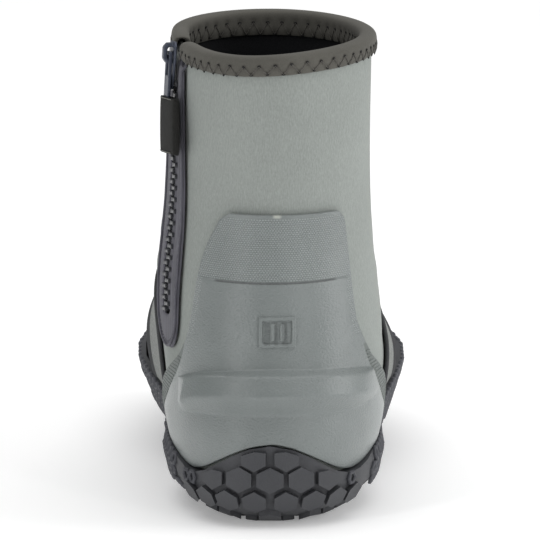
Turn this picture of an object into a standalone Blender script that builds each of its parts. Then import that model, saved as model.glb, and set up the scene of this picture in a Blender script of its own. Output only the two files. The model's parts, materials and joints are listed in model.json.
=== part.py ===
"""Wading bootie, right shoe, standing empty on its sole.

Sizes are millimetres and become metres where a mesh is made. +X is the outer
(lateral) side of the foot, +Y the toe, +Z up. Places along the foot are
counted from the back of the heel; HEEL_Y moves them so the part is centred.
Every soft piece is cut from one function of the last, skin().
"""
import math
from collections import namedtuple
from functools import lru_cache

import bmesh
import bpy
from mathutils import Vector

MM = 0.001
HEEL_Y = -148.0
MEDIAL, LATERAL = -1, 1

# One row for each level of the last: the outside of the neoprene in a flat cut.
# back, front: ends of the cut; line: where each side is widest; w: half width
# there; full: half width aimed at over the forefoot; power: end roundness.
Level = namedtuple(
    "Level", "z back med_line lat_line front med_w lat_w med_full lat_full heel_power toe_power")
LAST = [Level(*row) for row in (
    (12, 9.0, 78, 74, 291, 36.0, 38.5, 46.5, 50.0, 0.80, 0.74),
    (22, 5.0, 79, 74, 297, 39.0, 42.0, 53.0, 55.5, 0.80, 0.72),
    (34, 3.5, 80, 74, 297, 42.0, 45.0, 59.0, 60.0, 0.82, 0.72),
    (45, 4.0, 82, 74, 288, 43.3, 46.1, 61.0, 61.0, 0.85, 0.74),
    (55, 5.0, 85, 74, 263, 44.4, 46.8, 58.5, 54.0, 0.88, 0.79),
    (64, 6.5, 88, 74, 234, 45.6, 47.2, 55.0, 49.0, 0.90, 0.86),
    (75, 8.5, 91, 74, 205, 47.0, 46.8, 51.5, 47.0, 0.93, 0.92),
    (88, 11.0, 92, 74, 177, 47.5, 45.4, 49.0, 46.5, 0.96, 0.97),
    (103, 13.0, 92, 73, 153, 46.5, 43.6, 46.5, 44.0, 1.00, 1.00),
    (122, 14.5, 90, 70, 138, 43.8, 42.2, 43.8, 42.2, 1.00, 1.00),
    (145, 14.0, 88, 67, 130, 42.0, 41.7, 42.0, 41.7, 1.00, 1.00),
    (170, 12.5, 87, 65, 126.5, 41.0, 42.0, 41.0, 42.0, 1.00, 1.00),
    (200, 11.0, 86, 63, 125, 38.5, 42.6, 38.5, 42.6, 1.00, 1.00),
)]

ARCH_PINCH, ARCH_Y, ARCH_SPAN = 5.0, 130.0, 45.0
TOE_SPRING, SPRING_FROM = 9.0, 215.0
TOE_SWING, SWING_FROM = 9.0, 190.0
TOE_TIP = 300.0
GROUND = 2.0

GAP = 0.45
WALL = 3.5
FEATHER = 12.0
UPPER_ROWS = (12, 20, 28, 36, 44, 51, 58, 65, 72, 79, 86, 94, 103, 113, 125, 142, 160, 178)
COLLAR_BACK, COLLAR_FRONT, COLLAR_LEAN = 190.8, 194.8, 0.06

ZIP_LOW, ZIP_LOW_Y, ZIP_HIGH, ZIP_HIGH_Y = 57.0, 50.0, 193.0, 62.0
SLOT_Z, SLOT_HALF = 79.0, 4.8
TAPE_THICK = 1.2
CHAIN_HALF, CHAIN_OUT, CHAIN_IN = 4.2, 1.9, 1.2

SOLE_FLOOR, SOLE_BASE, SHOULDER = 11.6, 0.2, 18.0
SOLE_ROUND, ROUND_POWER = 17.0, 2.5
SOLE_WALL, FORE_WALL, RIM_WALL = 5.4, 3.4, 2.6
SOLE_ARCH = 2.5
LUG_PITCH, LUG_FLAT, LUG_POINT = 11.0, 4.6, 5.3
LUG_OUT, LUG_SUNK = 2.2, 0.9

FLAP_TOP, FLAP_DIP, FLAP_DIP_AT, FLAP_END_AT = 33.0, 18.5, 38.0, 75.0
RimMark = namedtuple("RimMark", "y z")
RIM = [RimMark(*row) for row in (
    (80, 25.0), (110, 29.0), (150, 35.5), (190, 40.0), (240, 42.0), (303, 44.0))]

COUNTER_THICK, COUNTER_SEAM, PANEL_STEP = 2.2, 1.0, 0.8
SHELF_Z, GROOVE_Z = 72.0, 98.9
# Upper part of the counter: where its two edges lie, as lengths round the heel.
EdgeMark = namedtuple("EdgeMark", "z medial lateral")
COUNTER_EDGES = [EdgeMark(*row) for row in (
    (72, -41.0, 45.5), (81, -37.5, 40.5), (98, -33.5, 38.0), (110, -29.5, 36.0),
    (120, -23.5, 34.2), (124, -21.0, 33.2), (127, -16.5, 30.0))]
# Kick ledge: levels of its four folds and how far its crest stands out.
LedgeMark = namedtuple("LedgeMark", "arc low crest shelf high out")
LEDGE = [LedgeMark(*row) for row in (
    (-47.5, 43.0, 46.5, 56.2, 56.8, 0.0), (-36.0, 43.6, 48.3, 58.1, 59.0, 6.0),
    (-26.0, 44.5, 51.3, 59.8, 61.5, 6.7), (0.0, 45.5, 53.2, 60.8, 64.0, 7.0), (22.0, 45.2, 52.8, 60.3, 63.0, 6.5),
    (37.0, 45.5, 51.5, 59.8, 61.8, 5.0), (50.0, 46.6, 49.6, 59.3, 60.3, 2.2),
    (57.0, 47.0, 48.5, 58.5, 59.5, 0.0))]
LEDGE_FACE = 0.62


def smooth(t):
    t = min(1.0, max(0.0, t))
    return t * t * (3.0 - 2.0 * t)


def bump(t):
    return math.cos(math.pi * t / 2.0) ** 2 if abs(t) < 1.0 else 0.0


def blend(rows, at):
    """Smooth value of every column of a table, by its first column."""
    at = min(rows[-1][0], max(rows[0][0], at))
    k = max(i for i in range(len(rows) - 1) if rows[i][0] <= at)
    low, high = rows[k], rows[k + 1]
    span = high[0] - low[0]
    t = (at - low[0]) / span

    def slope(i, c):
        a, b = rows[max(0, i - 1)], rows[min(len(rows) - 1, i + 1)]
        return (b[c] - a[c]) / (b[0] - a[0])

    h = (2 * t**3 - 3 * t**2 + 1, t**3 - 2 * t**2 + t, 3 * t**2 - 2 * t**3, t**3 - t**2)
    return type(low)(*(
        h[0] * low[c] + h[1] * span * slope(k, c) + h[2] * high[c] + h[3] * span * slope(k + 1, c)
        for c in range(len(low))))


@lru_cache(maxsize=None)
def last_at(z):
    return blend(LAST, z)


def contour(z, u, side, grow=0.0):
    """Point of a flat cut: u is -1 at the heel, 0 at the widest place, 1 at the toe."""
    cut = last_at(round(z, 3))
    line, width, full = ((cut.med_line, cut.med_w, cut.med_full) if side == MEDIAL
                         else (cut.lat_line, cut.lat_w, cut.lat_full))
    if u < 0.0:
        reach, power, half = line - cut.back + grow, cut.heel_power, width + grow
    else:
        reach, power = cut.front - line + grow, cut.toe_power
        half = width + (full - width) * smooth((u - 0.1) / 0.45) + grow
    y = line + u * reach
    if side == MEDIAL:
        half -= ARCH_PINCH * smooth(1.0 - z / 45.0) * bump((y - ARCH_Y) / ARCH_SPAN)
    return side * half * max(0.0, 1.0 - u * u) ** (power / 2.0), y


def place(x, y, z):
    """Toe swing and toe spring, then the part's own middle and ground."""
    swing = max(0.0, (y - SWING_FROM) / (TOE_TIP - SWING_FROM)) ** 2
    spring = max(0.0, (y - SPRING_FROM) / (TOE_TIP - SPRING_FROM)) ** 2
    return Vector((x - TOE_SWING * swing, y + HEEL_Y, z + GROUND + TOE_SPRING * spring))


def on_last(z, u, side, grow=0.0):
    x, y = contour(z, u, side, grow)
    return place(x, y, z)


def skin_normal(z, u, side):
    if abs(u) > 0.999:
        along = Vector((1.0, 0.0, 0.0))
    else:
        step = 0.004
        ahead, behind = min(0.9995, u + step), max(-0.9995, u - step)
        along = on_last(z, ahead, side) - on_last(z, behind, side)
    up = on_last(min(200.0, z + 0.6), u, side) - on_last(max(12.0, z - 0.6), u, side)
    normal = along.cross(up).normalized()
    outward = on_last(z, u, side) - place(0.0, contour(z, 0.0, side)[1], z)
    return -normal if normal.dot(outward) < 0.0 else normal


def skin(z, u, side, off=0.0):
    return on_last(z, u, side) + off * skin_normal(z, u, side)


def u_at(z, y, side):
    """The u of a place along the foot, for one level and side."""
    cut = last_at(round(z, 3))
    line = cut.med_line if side == MEDIAL else cut.lat_line
    reach = line - cut.back if y < line else cut.front - line
    return max(-1.0, min(1.0, (y - line) / reach))


@lru_cache(maxsize=None)
def arc_steps(z, side):
    """Lengths round the heel from its middle, at even steps of angle."""
    steps = [(0.0, -1.0)]
    last = Vector(contour(z, -1.0, side))
    for k in range(1, 81):
        u = -math.cos(math.radians(1.6 * k))
        here = Vector(contour(z, u, side))
        steps.append((steps[-1][0] + (here - last).length, u))
        last = here
    return steps


def around(z, arc):
    """u and side at a length round the heel; the lateral side counts up."""
    side = MEDIAL if arc < 0.0 else LATERAL
    steps = arc_steps(round(z, 2), side)
    for (low, u_low), (high, u_high) in zip(steps, steps[1:]):
        if high >= abs(arc):
            return u_low + (u_high - u_low) * (abs(arc) - low) / (high - low), side
    return steps[-1][1], side


def arc_of(z, u, side):
    steps = arc_steps(round(z, 2), side)
    for (low, u_low), (high, u_high) in zip(steps, steps[1:]):
        if u_high >= u:
            return low + (high - low) * (u - u_low) / (u_high - u_low)
    return steps[-1][0]


def material(name, colour, rough, metal=0.0):
    made = bpy.data.materials.new(name)
    made.use_nodes = True
    shader = made.node_tree.nodes["Principled BSDF"]
    shader.inputs["Base Color"].default_value = (*colour, 1.0)
    shader.inputs["Roughness"].default_value = rough
    shader.inputs["Metallic"].default_value = metal
    return made


def add_object(name, bm, mat, origin=Vector()):
    """Close, orient and scale a mesh, and put it in the scene."""
    bmesh.ops.remove_doubles(bm, verts=bm.verts, dist=0.001)
    bmesh.ops.dissolve_degenerate(bm, edges=bm.edges, dist=0.001)
    bmesh.ops.recalc_face_normals(bm, faces=bm.faces)
    bmesh.ops.translate(bm, verts=bm.verts, vec=-origin)
    bmesh.ops.scale(bm, verts=bm.verts, vec=Vector((MM, MM, MM)))
    mesh = bpy.data.meshes.new(name)
    bm.to_mesh(mesh)
    bm.free()
    obj = bpy.data.objects.new(name, mesh)
    obj.location = origin * MM
    obj.data.materials.append(mat)
    bpy.context.scene.collection.objects.link(obj)
    return obj


def shell_mesh(cells, outer, inner, bm=None):
    """Closed wall over a patch: each cell is a list of keys, each key has two points."""
    bm = bm or bmesh.new()
    made = {}

    def vert(key, fn):
        if (key, fn) not in made:
            made[key, fn] = bm.verts.new(fn(key))
        return made[key, fn]

    sides = {}
    for cell in cells:
        bm.faces.new([vert(key, outer) for key in cell])
        bm.faces.new([vert(key, inner) for key in reversed(cell)])
        for a, b in zip(cell, cell[1:] + cell[:1]):
            if (b, a) in sides:
                del sides[b, a]
            else:
                sides[a, b] = True
    for a, b in sides:
        bm.faces.new([vert(b, outer), vert(a, outer), vert(a, inner), vert(b, inner)])
    return bm


def grid(rows, columns, closed=False):
    """Cells of a plain grid of (row, column) keys."""
    turns = columns if closed else columns - 1
    return [[(j, i), (j, (i + 1) % columns), (j + 1, (i + 1) % columns), (j + 1, i)]
            for j in range(rows - 1) for i in range(turns)]


def union(target, adder):
    """Fuse a hidden helper into a piece."""
    adder.hide_render = True
    adder.display_type = "WIRE"
    cut = target.modifiers.new("fuse", "BOOLEAN")
    cut.operation = "UNION"
    cut.solver = "EXACT"
    cut.object = adder


for old in list(bpy.data.objects):
    bpy.data.objects.remove(old)

neoprene = material("neoprene", (0.30, 0.32, 0.30), 0.85)
rubber = material("outsole_rubber", (0.055, 0.056, 0.060), 0.65)
foam = material("insole_foam", (0.02, 0.02, 0.022), 0.9)
moulded = material("counter_tpu", (0.22, 0.235, 0.235), 0.6)
overlay = material("saddle_overlay", (0.035, 0.037, 0.040), 0.7)
fabric = material("binding_fabric", (0.115, 0.108, 0.097), 0.9)
tape_cloth = material("zip_tape_cloth", (0.065, 0.064, 0.078), 0.85)
tooth = material("zip_teeth", (0.03, 0.03, 0.033), 0.4)
slate = material("slider_metal", (0.045, 0.052, 0.07), 0.4, 0.8)
link_metal = material("pull_metal", (0.05, 0.055, 0.07), 0.4, 0.8)
webbing = material("pull_cloth", (0.02, 0.02, 0.019), 0.85)


def zip_y(z):
    return ZIP_LOW_Y + (ZIP_HIGH_Y - ZIP_LOW_Y) * (z - ZIP_LOW) / (ZIP_HIGH - ZIP_LOW)


def zip_point(z, across, off):
    """Place beside the zip's middle line, on the medial side."""
    return skin(z, u_at(z, zip_y(z) + across, MEDIAL), MEDIAL, off)


def collar_z(u, side):
    x, y = contour(195.0, u, side)
    ahead = (y - 11.0) / 114.0
    return COLLAR_BACK + (COLLAR_FRONT - COLLAR_BACK) * ahead + COLLAR_LEAN * x * (1.0 - ahead)


HEEL_SPLIT, SLOT_SPLIT, FRONT_SPLIT, LATERAL_SPLIT = 5, 2, 14, 8
SLOT_COLUMN = HEEL_SPLIT
LINE_COLUMN = SLOT_COLUMN + 1 + SLOT_SPLIT
TOE_COLUMN = LINE_COLUMN + FRONT_SPLIT
UPPER_COLUMNS = TOE_COLUMN + FRONT_SPLIT + LATERAL_SPLIT


def upper_column(i, z):
    """u and side of one column: heel, slot, medial side, toe, lateral side."""
    slot_rear = math.acos(-u_at(z, zip_y(z) - SLOT_HALF, MEDIAL))
    slot_front = math.acos(-u_at(z, zip_y(z) + SLOT_HALF, MEDIAL))
    if i <= SLOT_COLUMN:
        angle = slot_rear * i / HEEL_SPLIT
    elif i <= LINE_COLUMN:
        angle = slot_front + (math.pi / 2 - slot_front) * (i - SLOT_COLUMN - 1) / SLOT_SPLIT
    elif i <= TOE_COLUMN:
        angle = math.pi / 2 * (1.0 + (i - LINE_COLUMN) / FRONT_SPLIT)
    elif i <= TOE_COLUMN + FRONT_SPLIT:
        angle = math.pi / 2 * (2.0 - (i - TOE_COLUMN) / FRONT_SPLIT)
    else:
        angle = math.pi / 2 * (1.0 - (i - TOE_COLUMN - FRONT_SPLIT) / LATERAL_SPLIT)
    return -math.cos(angle), MEDIAL if i <= TOE_COLUMN else LATERAL


def upper_place(key):
    row, i = key
    if row < len(UPPER_ROWS):
        z = UPPER_ROWS[row]
        u, side = upper_column(i, z)
    else:
        u, side = upper_column(i, 193.0)
        z = collar_z(u, side)
    return z, u, side


def upper_out(key):
    return skin(*upper_place(key), 0.0)


def upper_in(key):
    return skin(*upper_place(key), -WALL)


def in_slot(cell):
    return cell[0][1] == SLOT_COLUMN and (
        cell[0][0] >= len(UPPER_ROWS) or UPPER_ROWS[cell[0][0]] >= SLOT_Z)


upper_cells = [c for c in grid(len(UPPER_ROWS) + 1, UPPER_COLUMNS, True) if not in_slot(c)]
add_object("upper", shell_mesh(upper_cells, upper_out, upper_in), neoprene)


def rim_z(u, side):
    """Top of the sole's wall: heel flap, dip, then rising to the toe."""
    y = contour(25.0, u, side)[1]
    if y >= RIM[0].y:
        return blend(RIM, y).z
    arc = arc_of(25.0, u, side)
    if arc < FLAP_DIP_AT:
        return FLAP_DIP + (FLAP_TOP - FLAP_DIP) * (0.5 + 0.5 * math.cos(math.pi * arc / FLAP_DIP_AT))
    rise = smooth((arc - FLAP_DIP_AT) / (FLAP_END_AT - FLAP_DIP_AT))
    return FLAP_DIP + (RIM[0].z - FLAP_DIP) * rise


def round_z(inset):
    """Height of the sole's rounded lower edge, by how far it is drawn in."""
    return SOLE_BASE + (SHOULDER - SOLE_BASE) * (1.0 - (inset / SOLE_ROUND) ** (1.0 / ROUND_POWER))


def round_inset(z):
    return SOLE_ROUND * max(0.0, 1.0 - (z - SOLE_BASE) / (SHOULDER - SOLE_BASE)) ** ROUND_POWER


def foot_wall(u):
    """Thickness of the sole's lower wall: stout at the heel, slim at the ball."""
    return SOLE_WALL + (FORE_WALL - SOLE_WALL) * smooth(u / 0.3)


def foot_level(u):
    """Level below which the sole stops following the last: lower at the ball."""
    return SHOULDER + (FEATHER - SHOULDER) * smooth(u / 0.3)


def sole_point(z, u, side, out=0.0):
    """Outside of the sole, drawn in below the shoulder; out moves it off the wall."""
    wall = foot_wall(u) + (RIM_WALL - foot_wall(u)) * smooth((z - SHOULDER) / 8.0)
    inset = round_inset(z) if z < SHOULDER else 0.0
    x, y = contour(max(z, foot_level(u)), u, side, GAP + wall - inset + out)
    lift = SOLE_ARCH * bump((y - ARCH_Y) / ARCH_SPAN) * smooth((SOLE_FLOOR - z) / 8.0)
    return place(x, y, z + lift)


SOLE_INSETS = (SOLE_ROUND, 12.0, 7.5, 4.0, 1.6)
WALL_SHARES = (0.0, 0.36, 0.7, 1.0)
INNER_SHARES = (0.0, 0.12, 0.3, 0.48, 0.66, 0.84, 1.0)
SOLE_HEEL, SOLE_FRONT = 11, 14
SOLE_LAST = SOLE_HEEL + SOLE_FRONT
SOLE_COLUMNS = 2 * SOLE_LAST


def sole_column(i):
    side = MEDIAL if i <= SOLE_LAST else LATERAL
    i = i if i <= SOLE_LAST else SOLE_COLUMNS - i
    share = i / SOLE_HEEL if i <= SOLE_HEEL else 1.0 + (i - SOLE_HEEL) / SOLE_FRONT
    return -math.cos(math.pi / 2 * share), side


def sole_out(key):
    row, i = key
    u, side = sole_column(i)
    rim = rim_z(u, side)
    if row < len(SOLE_INSETS):
        return sole_point(round_z(SOLE_INSETS[row]), u, side)
    low = min(SHOULDER, (round_z(SOLE_INSETS[-1]) + rim) / 2.0)
    return sole_point(low + (rim - low) * WALL_SHARES[row - len(SOLE_INSETS)], u, side)


def sole_in(key):
    row, i = key
    u, side = sole_column(i)
    if row < 2:
        return on_last(FEATHER, u, side, (-16.0, -8.0)[row]) - Vector((0.0, 0.0, FEATHER - SOLE_FLOOR))
    z = SOLE_FLOOR + (rim_z(u, side) - SOLE_FLOOR) * INNER_SHARES[row - 2]
    x, y = contour(max(z, FEATHER), u, side, GAP)
    return place(x, y, z)


sole_cells = grid(len(SOLE_INSETS) + len(WALL_SHARES), SOLE_COLUMNS, True)
for i in range(SOLE_LAST):
    strip = [(0, i + 1), (0, i), (0, -i % SOLE_COLUMNS), (0, SOLE_COLUMNS - i - 1)]
    sole_cells.append(list(dict.fromkeys(strip)))
sole_mesh = shell_mesh(sole_cells, sole_out, sole_in)
bmesh.ops.dissolve_limit(
    sole_mesh, angle_limit=math.radians(0.3), verts=sole_mesh.verts, edges=sole_mesh.edges)
outsole = add_object("outsole", sole_mesh, rubber)


def hexagon(mid_a, mid_b):
    """Corners of a lug, points along the second direction."""
    half = LUG_POINT / 2.0
    left = [(mid_a - LUG_FLAT, mid_b + half), (mid_a - LUG_FLAT, mid_b - half)]
    right = [(mid_a + LUG_FLAT, mid_b - half), (mid_a + LUG_FLAT, mid_b + half)]
    return [(mid_a, mid_b + LUG_POINT), *left, (mid_a, mid_b - LUG_POINT), *right]


def add_lug(bm, sunk, proud):
    low = [bm.verts.new(p) for p in sunk]
    high = [bm.verts.new(p) for p in proud]
    bm.faces.new(low)
    bm.faces.new(high[::-1])
    for a, b, c, d in zip(low, low[1:] + low[:1], high[1:] + high[:1], high):
        bm.faces.new([b, a, d, c])


@lru_cache(maxsize=None)
def wall_steps():
    """Lengths down the sole's wall and round its lower edge, with their heights."""
    steps = [(0.0, FLAP_TOP), (FLAP_TOP - SHOULDER, SHOULDER)]
    for k in range(1, 97):
        near, far = SOLE_ROUND * (k - 1) / 96, SOLE_ROUND * k / 96
        drop = math.hypot(far - near, round_z(far) - round_z(near))
        steps.append((steps[-1][0] + drop, round_z(far)))
    return steps


def wall_move(z, up):
    """Height reached from z by a length up along the wall."""
    at = None
    for (low, z_low), (high, z_high) in zip(wall_steps(), wall_steps()[1:]):
        if at is None and z >= z_high:
            at = low + (high - low) * (z - z_low) / (z_high - z_low) - up
    if at <= 0.0:
        return FLAP_TOP - at
    for (low, z_low), (high, z_high) in zip(wall_steps(), wall_steps()[1:]):
        if at <= high:
            return z_low + (z_high - z_low) * (at - low) / (high - low)
    return SOLE_BASE


def heel_lug(bm, arc, row_z):
    """Lug on the heel's rounded wall, cut off under the flap's edge."""
    sunk, proud = [], []
    for a, up in hexagon(arc, 0.0):
        u, side = around(SHOULDER, a)
        z = min(wall_move(row_z, up), rim_z(u, side) - 1.3)
        lean = smooth((SHOULDER - z) / SHOULDER)
        out = sole_point(z, u, side, LUG_OUT) - Vector((0.0, 0.0, LUG_OUT * lean))
        sunk.append(sole_point(z + LUG_SUNK * lean, u, side, -LUG_SUNK))
        proud.append(out)
    if max(p.z for p in proud) - min(p.z for p in proud) > 3.5:
        add_lug(bm, sunk, proud)


def ground_u(y, side, level, grow):
    cut = last_at(round(level, 3))
    line = cut.med_line if side == MEDIAL else cut.lat_line
    reach = (line - cut.back if y < line else cut.front - line) + grow
    return (y - line) / max(1.0, reach)


def inset_at(x, y):
    """How far inside the sole's outline a place on the ground lies."""
    side = MEDIAL if x < 0.0 else LATERAL
    low, high = -60.0, 12.0
    for _ in range(30):
        grow = (low + high) / 2.0
        u = ground_u(y, side, SHOULDER, grow)
        level = foot_level(u)
        u = ground_u(y, side, level, grow)
        inside = abs(u) < 1.0 and abs(contour(level, u, side, grow)[0]) > abs(x)
        low, high = (low, grow) if inside else (grow, high)
    return GAP + foot_wall(u) - high


def ground_z(x, y):
    inset = min(SOLE_ROUND, max(0.0, inset_at(x, y)))
    z = round_z(inset)
    return z + SOLE_ARCH * bump((y - ARCH_Y) / ARCH_SPAN) * smooth((SOLE_FLOOR - z) / 8.0)


def ground_lug(bm, x, y, least):
    corners = hexagon(x, y)
    if min(inset_at(*c) for c in corners) < least:
        return
    add_lug(bm, [place(a, b, ground_z(a, b) + LUG_SUNK) for a, b in corners],
            [place(a, b, ground_z(a, b) - LUG_OUT) for a, b in corners])


lugs = bmesh.new()
HeelRow = namedtuple("HeelRow", "z shift reach")
for row in (HeelRow(27.8, 0.5, 12), HeelRow(19.0, 0.0, 30), HeelRow(9.6, 0.5, 46)):
    for k in range(-5, 6):
        arc = (k + row.shift) * LUG_PITCH
        if abs(arc) < row.reach:
            heel_lug(lugs, arc, row.z)
ROW_PITCH = LUG_PITCH * math.sqrt(3.0) / 2.0
GroundZone = namedtuple("GroundZone", "first last least")
for zone in (GroundZone(0, 7, 8.0), GroundZone(15, 25, 8.0)):
    for j in range(zone.first, zone.last + 1):
        for k in range(-5, 6):
            ground_lug(lugs, (k + 0.5 * (j % 2)) * LUG_PITCH, 14.0 + j * ROW_PITCH, zone.least)
union(outsole, add_object("lug_blocks", lugs, rubber))


INSOLE_LOW, INSOLE_HIGH, INSOLE_IN = 12.1, 16.0, -6.5


def insole_top(key):
    return on_last(INSOLE_HIGH, *sole_column(key), INSOLE_IN)


def insole_under(key):
    return on_last(INSOLE_LOW, *sole_column(key), INSOLE_IN)


insole_cells = []
for i in range(SOLE_LAST):
    strip = [i + 1, i, -i % SOLE_COLUMNS, SOLE_COLUMNS - i - 1]
    insole_cells.append(list(dict.fromkeys(strip)))
add_object("insole", shell_mesh(insole_cells, insole_top, insole_under), foam)


CENTRE_SPLIT = 12
SKIRT_ARCS = (-41.0, -36.0, -28.5, -21.0, -13.5, -6.0, 2.0, 9.5, 17.0, 24.5, 32.0, 38.5, 45.5)
WING_ARCS = (49.5, 59.0, 70.0, 85.0, 104.0)
LEDGE_WINGS = 1
COUNTER_MIDDLE = (COUNTER_EDGES[0].medial + COUNTER_EDGES[0].lateral) / 2.0
SHELF_HALF = COUNTER_EDGES[0].lateral - COUNTER_MIDDLE
WingMark = namedtuple("WingMark", "reach z")
WING_TOP = [WingMark(*row) for row in (
    (SHELF_HALF, SHELF_Z), (48.0, 66.3), (55.0, 62.3), (68.0, 56.5), (85.0, 48.0), (104.0, 37.0))]
EDGE_SHARES = (0.0, 0.35, 0.7)
LOWER_SHARES = (0.0, 0.17, 0.37, 0.6, 0.69, 0.84, 1.0)
LOWER_MIDDLE, CREST_LEVEL, FACE_LEVEL = 40.0, 2, 3
UPPER_LEVELS = (80.0, 89.0, 98.4, 99.4, 108.0, 115.0, 120.0, 124.0, 127.0)
WING_SLANT = 0.9


def lower_place(row, i):
    """Height and length round the heel, on the counter's skirt and wings."""
    wing = max(0, abs(i) - CENTRE_SPLIT // 2)
    arc = SKIRT_ARCS[i + CENTRE_SPLIT // 2] if not wing else COUNTER_MIDDLE + math.copysign(WING_ARCS[wing - 1], i)
    reach = abs(arc - COUNTER_MIDDLE)
    low = rim_z(*around(26.0, arc)) + COUNTER_SEAM
    high = blend(WING_TOP, reach).z
    middle = min(LOWER_MIDDLE, low + 0.4 * (high - low))
    level = row - len(EDGE_SHARES)
    if level < 0:
        return low + (middle - low) * EDGE_SHARES[row], arc
    if wing > LEDGE_WINGS:
        return middle + (high - middle) * LOWER_SHARES[level], arc
    fold = blend(LEDGE, arc)
    folds = (middle, fold.low, fold.crest, fold.shelf, fold.high, (fold.high + high) / 2.0, high)
    return folds[level], arc


def counter_place(key):
    """Height, u, side and length round the heel of one point of the counter's grid."""
    row, i = key
    upper_row = row - len(EDGE_SHARES) - len(LOWER_SHARES)
    if upper_row < 0:
        z, arc = lower_place(row, i)
    else:
        z = UPPER_LEVELS[upper_row]
        edge = blend(COUNTER_EDGES, z)
        arc = edge.medial + (edge.lateral - edge.medial) * (i / CENTRE_SPLIT + 0.5)
    return z, *around(z, arc), arc


def ledge(key, arc):
    """Kick ledge across the back: cut short at its inner end, pinched out at the other."""
    level = key[0] - len(EDGE_SHARES)
    wing = abs(key[1]) - CENTRE_SPLIT // 2
    if level not in (CREST_LEVEL, FACE_LEVEL) or wing > LEDGE_WINGS:
        return 0.0
    return max(0.0, blend(LEDGE, arc).out) * (1.0 if level == CREST_LEVEL else LEDGE_FACE)


def panel_rise(key, z, arc):
    """1 on the raised middle of the counter, 0 on its side strips, wings and top."""
    if z > SHELF_Z:
        return smooth((GROOVE_Z + 0.5 - z) / 1.0) * (1.0 if abs(key[1]) < CENTRE_SPLIT // 2 else 0.0)
    outside = abs(arc - COUNTER_MIDDLE) - SHELF_HALF - WING_SLANT * (SHELF_Z - z)
    return 1.0 - smooth(outside / 4.0 + 0.5)


def counter_out(key):
    z, u, side, arc = counter_place(key)
    rise = PANEL_STEP * panel_rise(key, z, arc) + ledge(key, arc)
    point = skin(z, u, side, GAP + COUNTER_THICK + rise)
    if key[0] == 0:
        point.z = counter_in(key).z
    return point


def counter_in(key):
    z, u, side, _ = counter_place(key)
    return skin(z, u, side, GAP)


half, wings = CENTRE_SPLIT // 2, len(WING_ARCS)
rows_low = len(EDGE_SHARES) + len(LOWER_SHARES)
rows_all = rows_low + len(UPPER_LEVELS)
counter_cells = [
    [(j, i), (j, i + 1), (j + 1, i + 1), (j + 1, i)]
    for j in range(rows_all - 1)
    for i in range(-half - wings, half + wings)
    if j < rows_low - 1 or -half <= i < half]
counter = add_object("heel_counter", shell_mesh(counter_cells, counter_out, counter_in), moulded)

MARK_Z, MARK_ARC, MARK_HALF_W, MARK_HALF_H, MARK_BAR, MARK_OUT = 78.8, 2.75, 6.8, 6.0, 1.3, 1.0
RIB_AT, RIB_HALF_W, RIB_HALF_H = 1.8, 0.8, 3.4
MARK_FACE = GAP + COUNTER_THICK + PANEL_STEP


def mark_point(across, up, off):
    """Place on the raised back panel, counted from the middle of the mark."""
    z = MARK_Z + up
    return skin(z, *around(z, MARK_ARC + across), MARK_FACE + off)


frame_x = (-MARK_HALF_W, MARK_BAR - MARK_HALF_W, MARK_HALF_W - MARK_BAR, MARK_HALF_W)
frame_z = (-MARK_HALF_H, MARK_BAR - MARK_HALF_H, MARK_HALF_H - MARK_BAR, MARK_HALF_H)
marks = shell_mesh([c for c in grid(4, 4) if c[0] != (1, 1)],
                   lambda key: mark_point(frame_x[key[1]], frame_z[key[0]], MARK_OUT),
                   lambda key: mark_point(frame_x[key[1]], frame_z[key[0]], -1.6))
for rib in (-RIB_AT, RIB_AT):
    corners = [(rib - RIB_HALF_W, -RIB_HALF_H), (rib + RIB_HALF_W, -RIB_HALF_H),
               (rib + RIB_HALF_W, RIB_HALF_H), (rib - RIB_HALF_W, RIB_HALF_H)]
    add_lug(marks, [mark_point(*c, -1.6) for c in corners], [mark_point(*c, MARK_OUT) for c in corners])
union(counter, add_object("mark_bars", marks, moulded))


SADDLE_GAP, SADDLE_THICK, SADDLE_STEP = 1.0, 1.2, 0.7
SADDLE_Y, SADDLE_Z, SADDLE_LEAN = 134.0, 40.0, 0.40
SADDLE_ACROSS = (-13.0, -10.0, -9.0, 0.0, 9.0, 10.0, 13.0)
SADDLE_ALONG, SADDLE_SWEEP = 24, 26.0


def saddle_line(z, across):
    return SADDLE_Y + across + SADDLE_LEAN * (z - SADDLE_Z)


@lru_cache(maxsize=None)
def saddle_top(across):
    """Level where the band's slanted plane meets the ridge of the instep."""
    low, high = 50.0, 190.0
    for _ in range(40):
        z = (low + high) / 2.0
        low, high = (z, high) if last_at(round(z, 3)).front > saddle_line(z, across) else (low, z)
    return low


def saddle_place(key):
    j, i = key
    across = SADDLE_ACROSS[i]
    turn = j / SADDLE_ALONG * math.pi
    side = MEDIAL if turn <= math.pi / 2 else LATERAL
    y_low = saddle_line(38.0, across)
    low = blend(RIM, y_low).z + GAP + 0.3
    z = low + (saddle_top(across) - low) * math.sin(turn)
    rear = (SADDLE_ACROSS[-1] - across) / (SADDLE_ACROSS[-1] - SADDLE_ACROSS[0])
    sweep = SADDLE_SWEEP * rear * math.sin(2.0 * turn) * math.cos(turn) if side == MEDIAL else 0.0
    u = 1.0 if j * 2 == SADDLE_ALONG else u_at(z, saddle_line(z, across) - sweep, side)
    return z, u, side


def saddle_out(key):
    edge = abs(SADDLE_ACROSS[key[1]]) > 9.8
    return skin(*saddle_place(key), SADDLE_GAP + SADDLE_THICK + (SADDLE_STEP if edge else 0.0))


def saddle_in(key):
    return skin(*saddle_place(key), SADDLE_GAP)


add_object("instep_saddle", shell_mesh(
    grid(SADDLE_ALONG + 1, len(SADDLE_ACROSS)), saddle_out, saddle_in), overlay)


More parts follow.
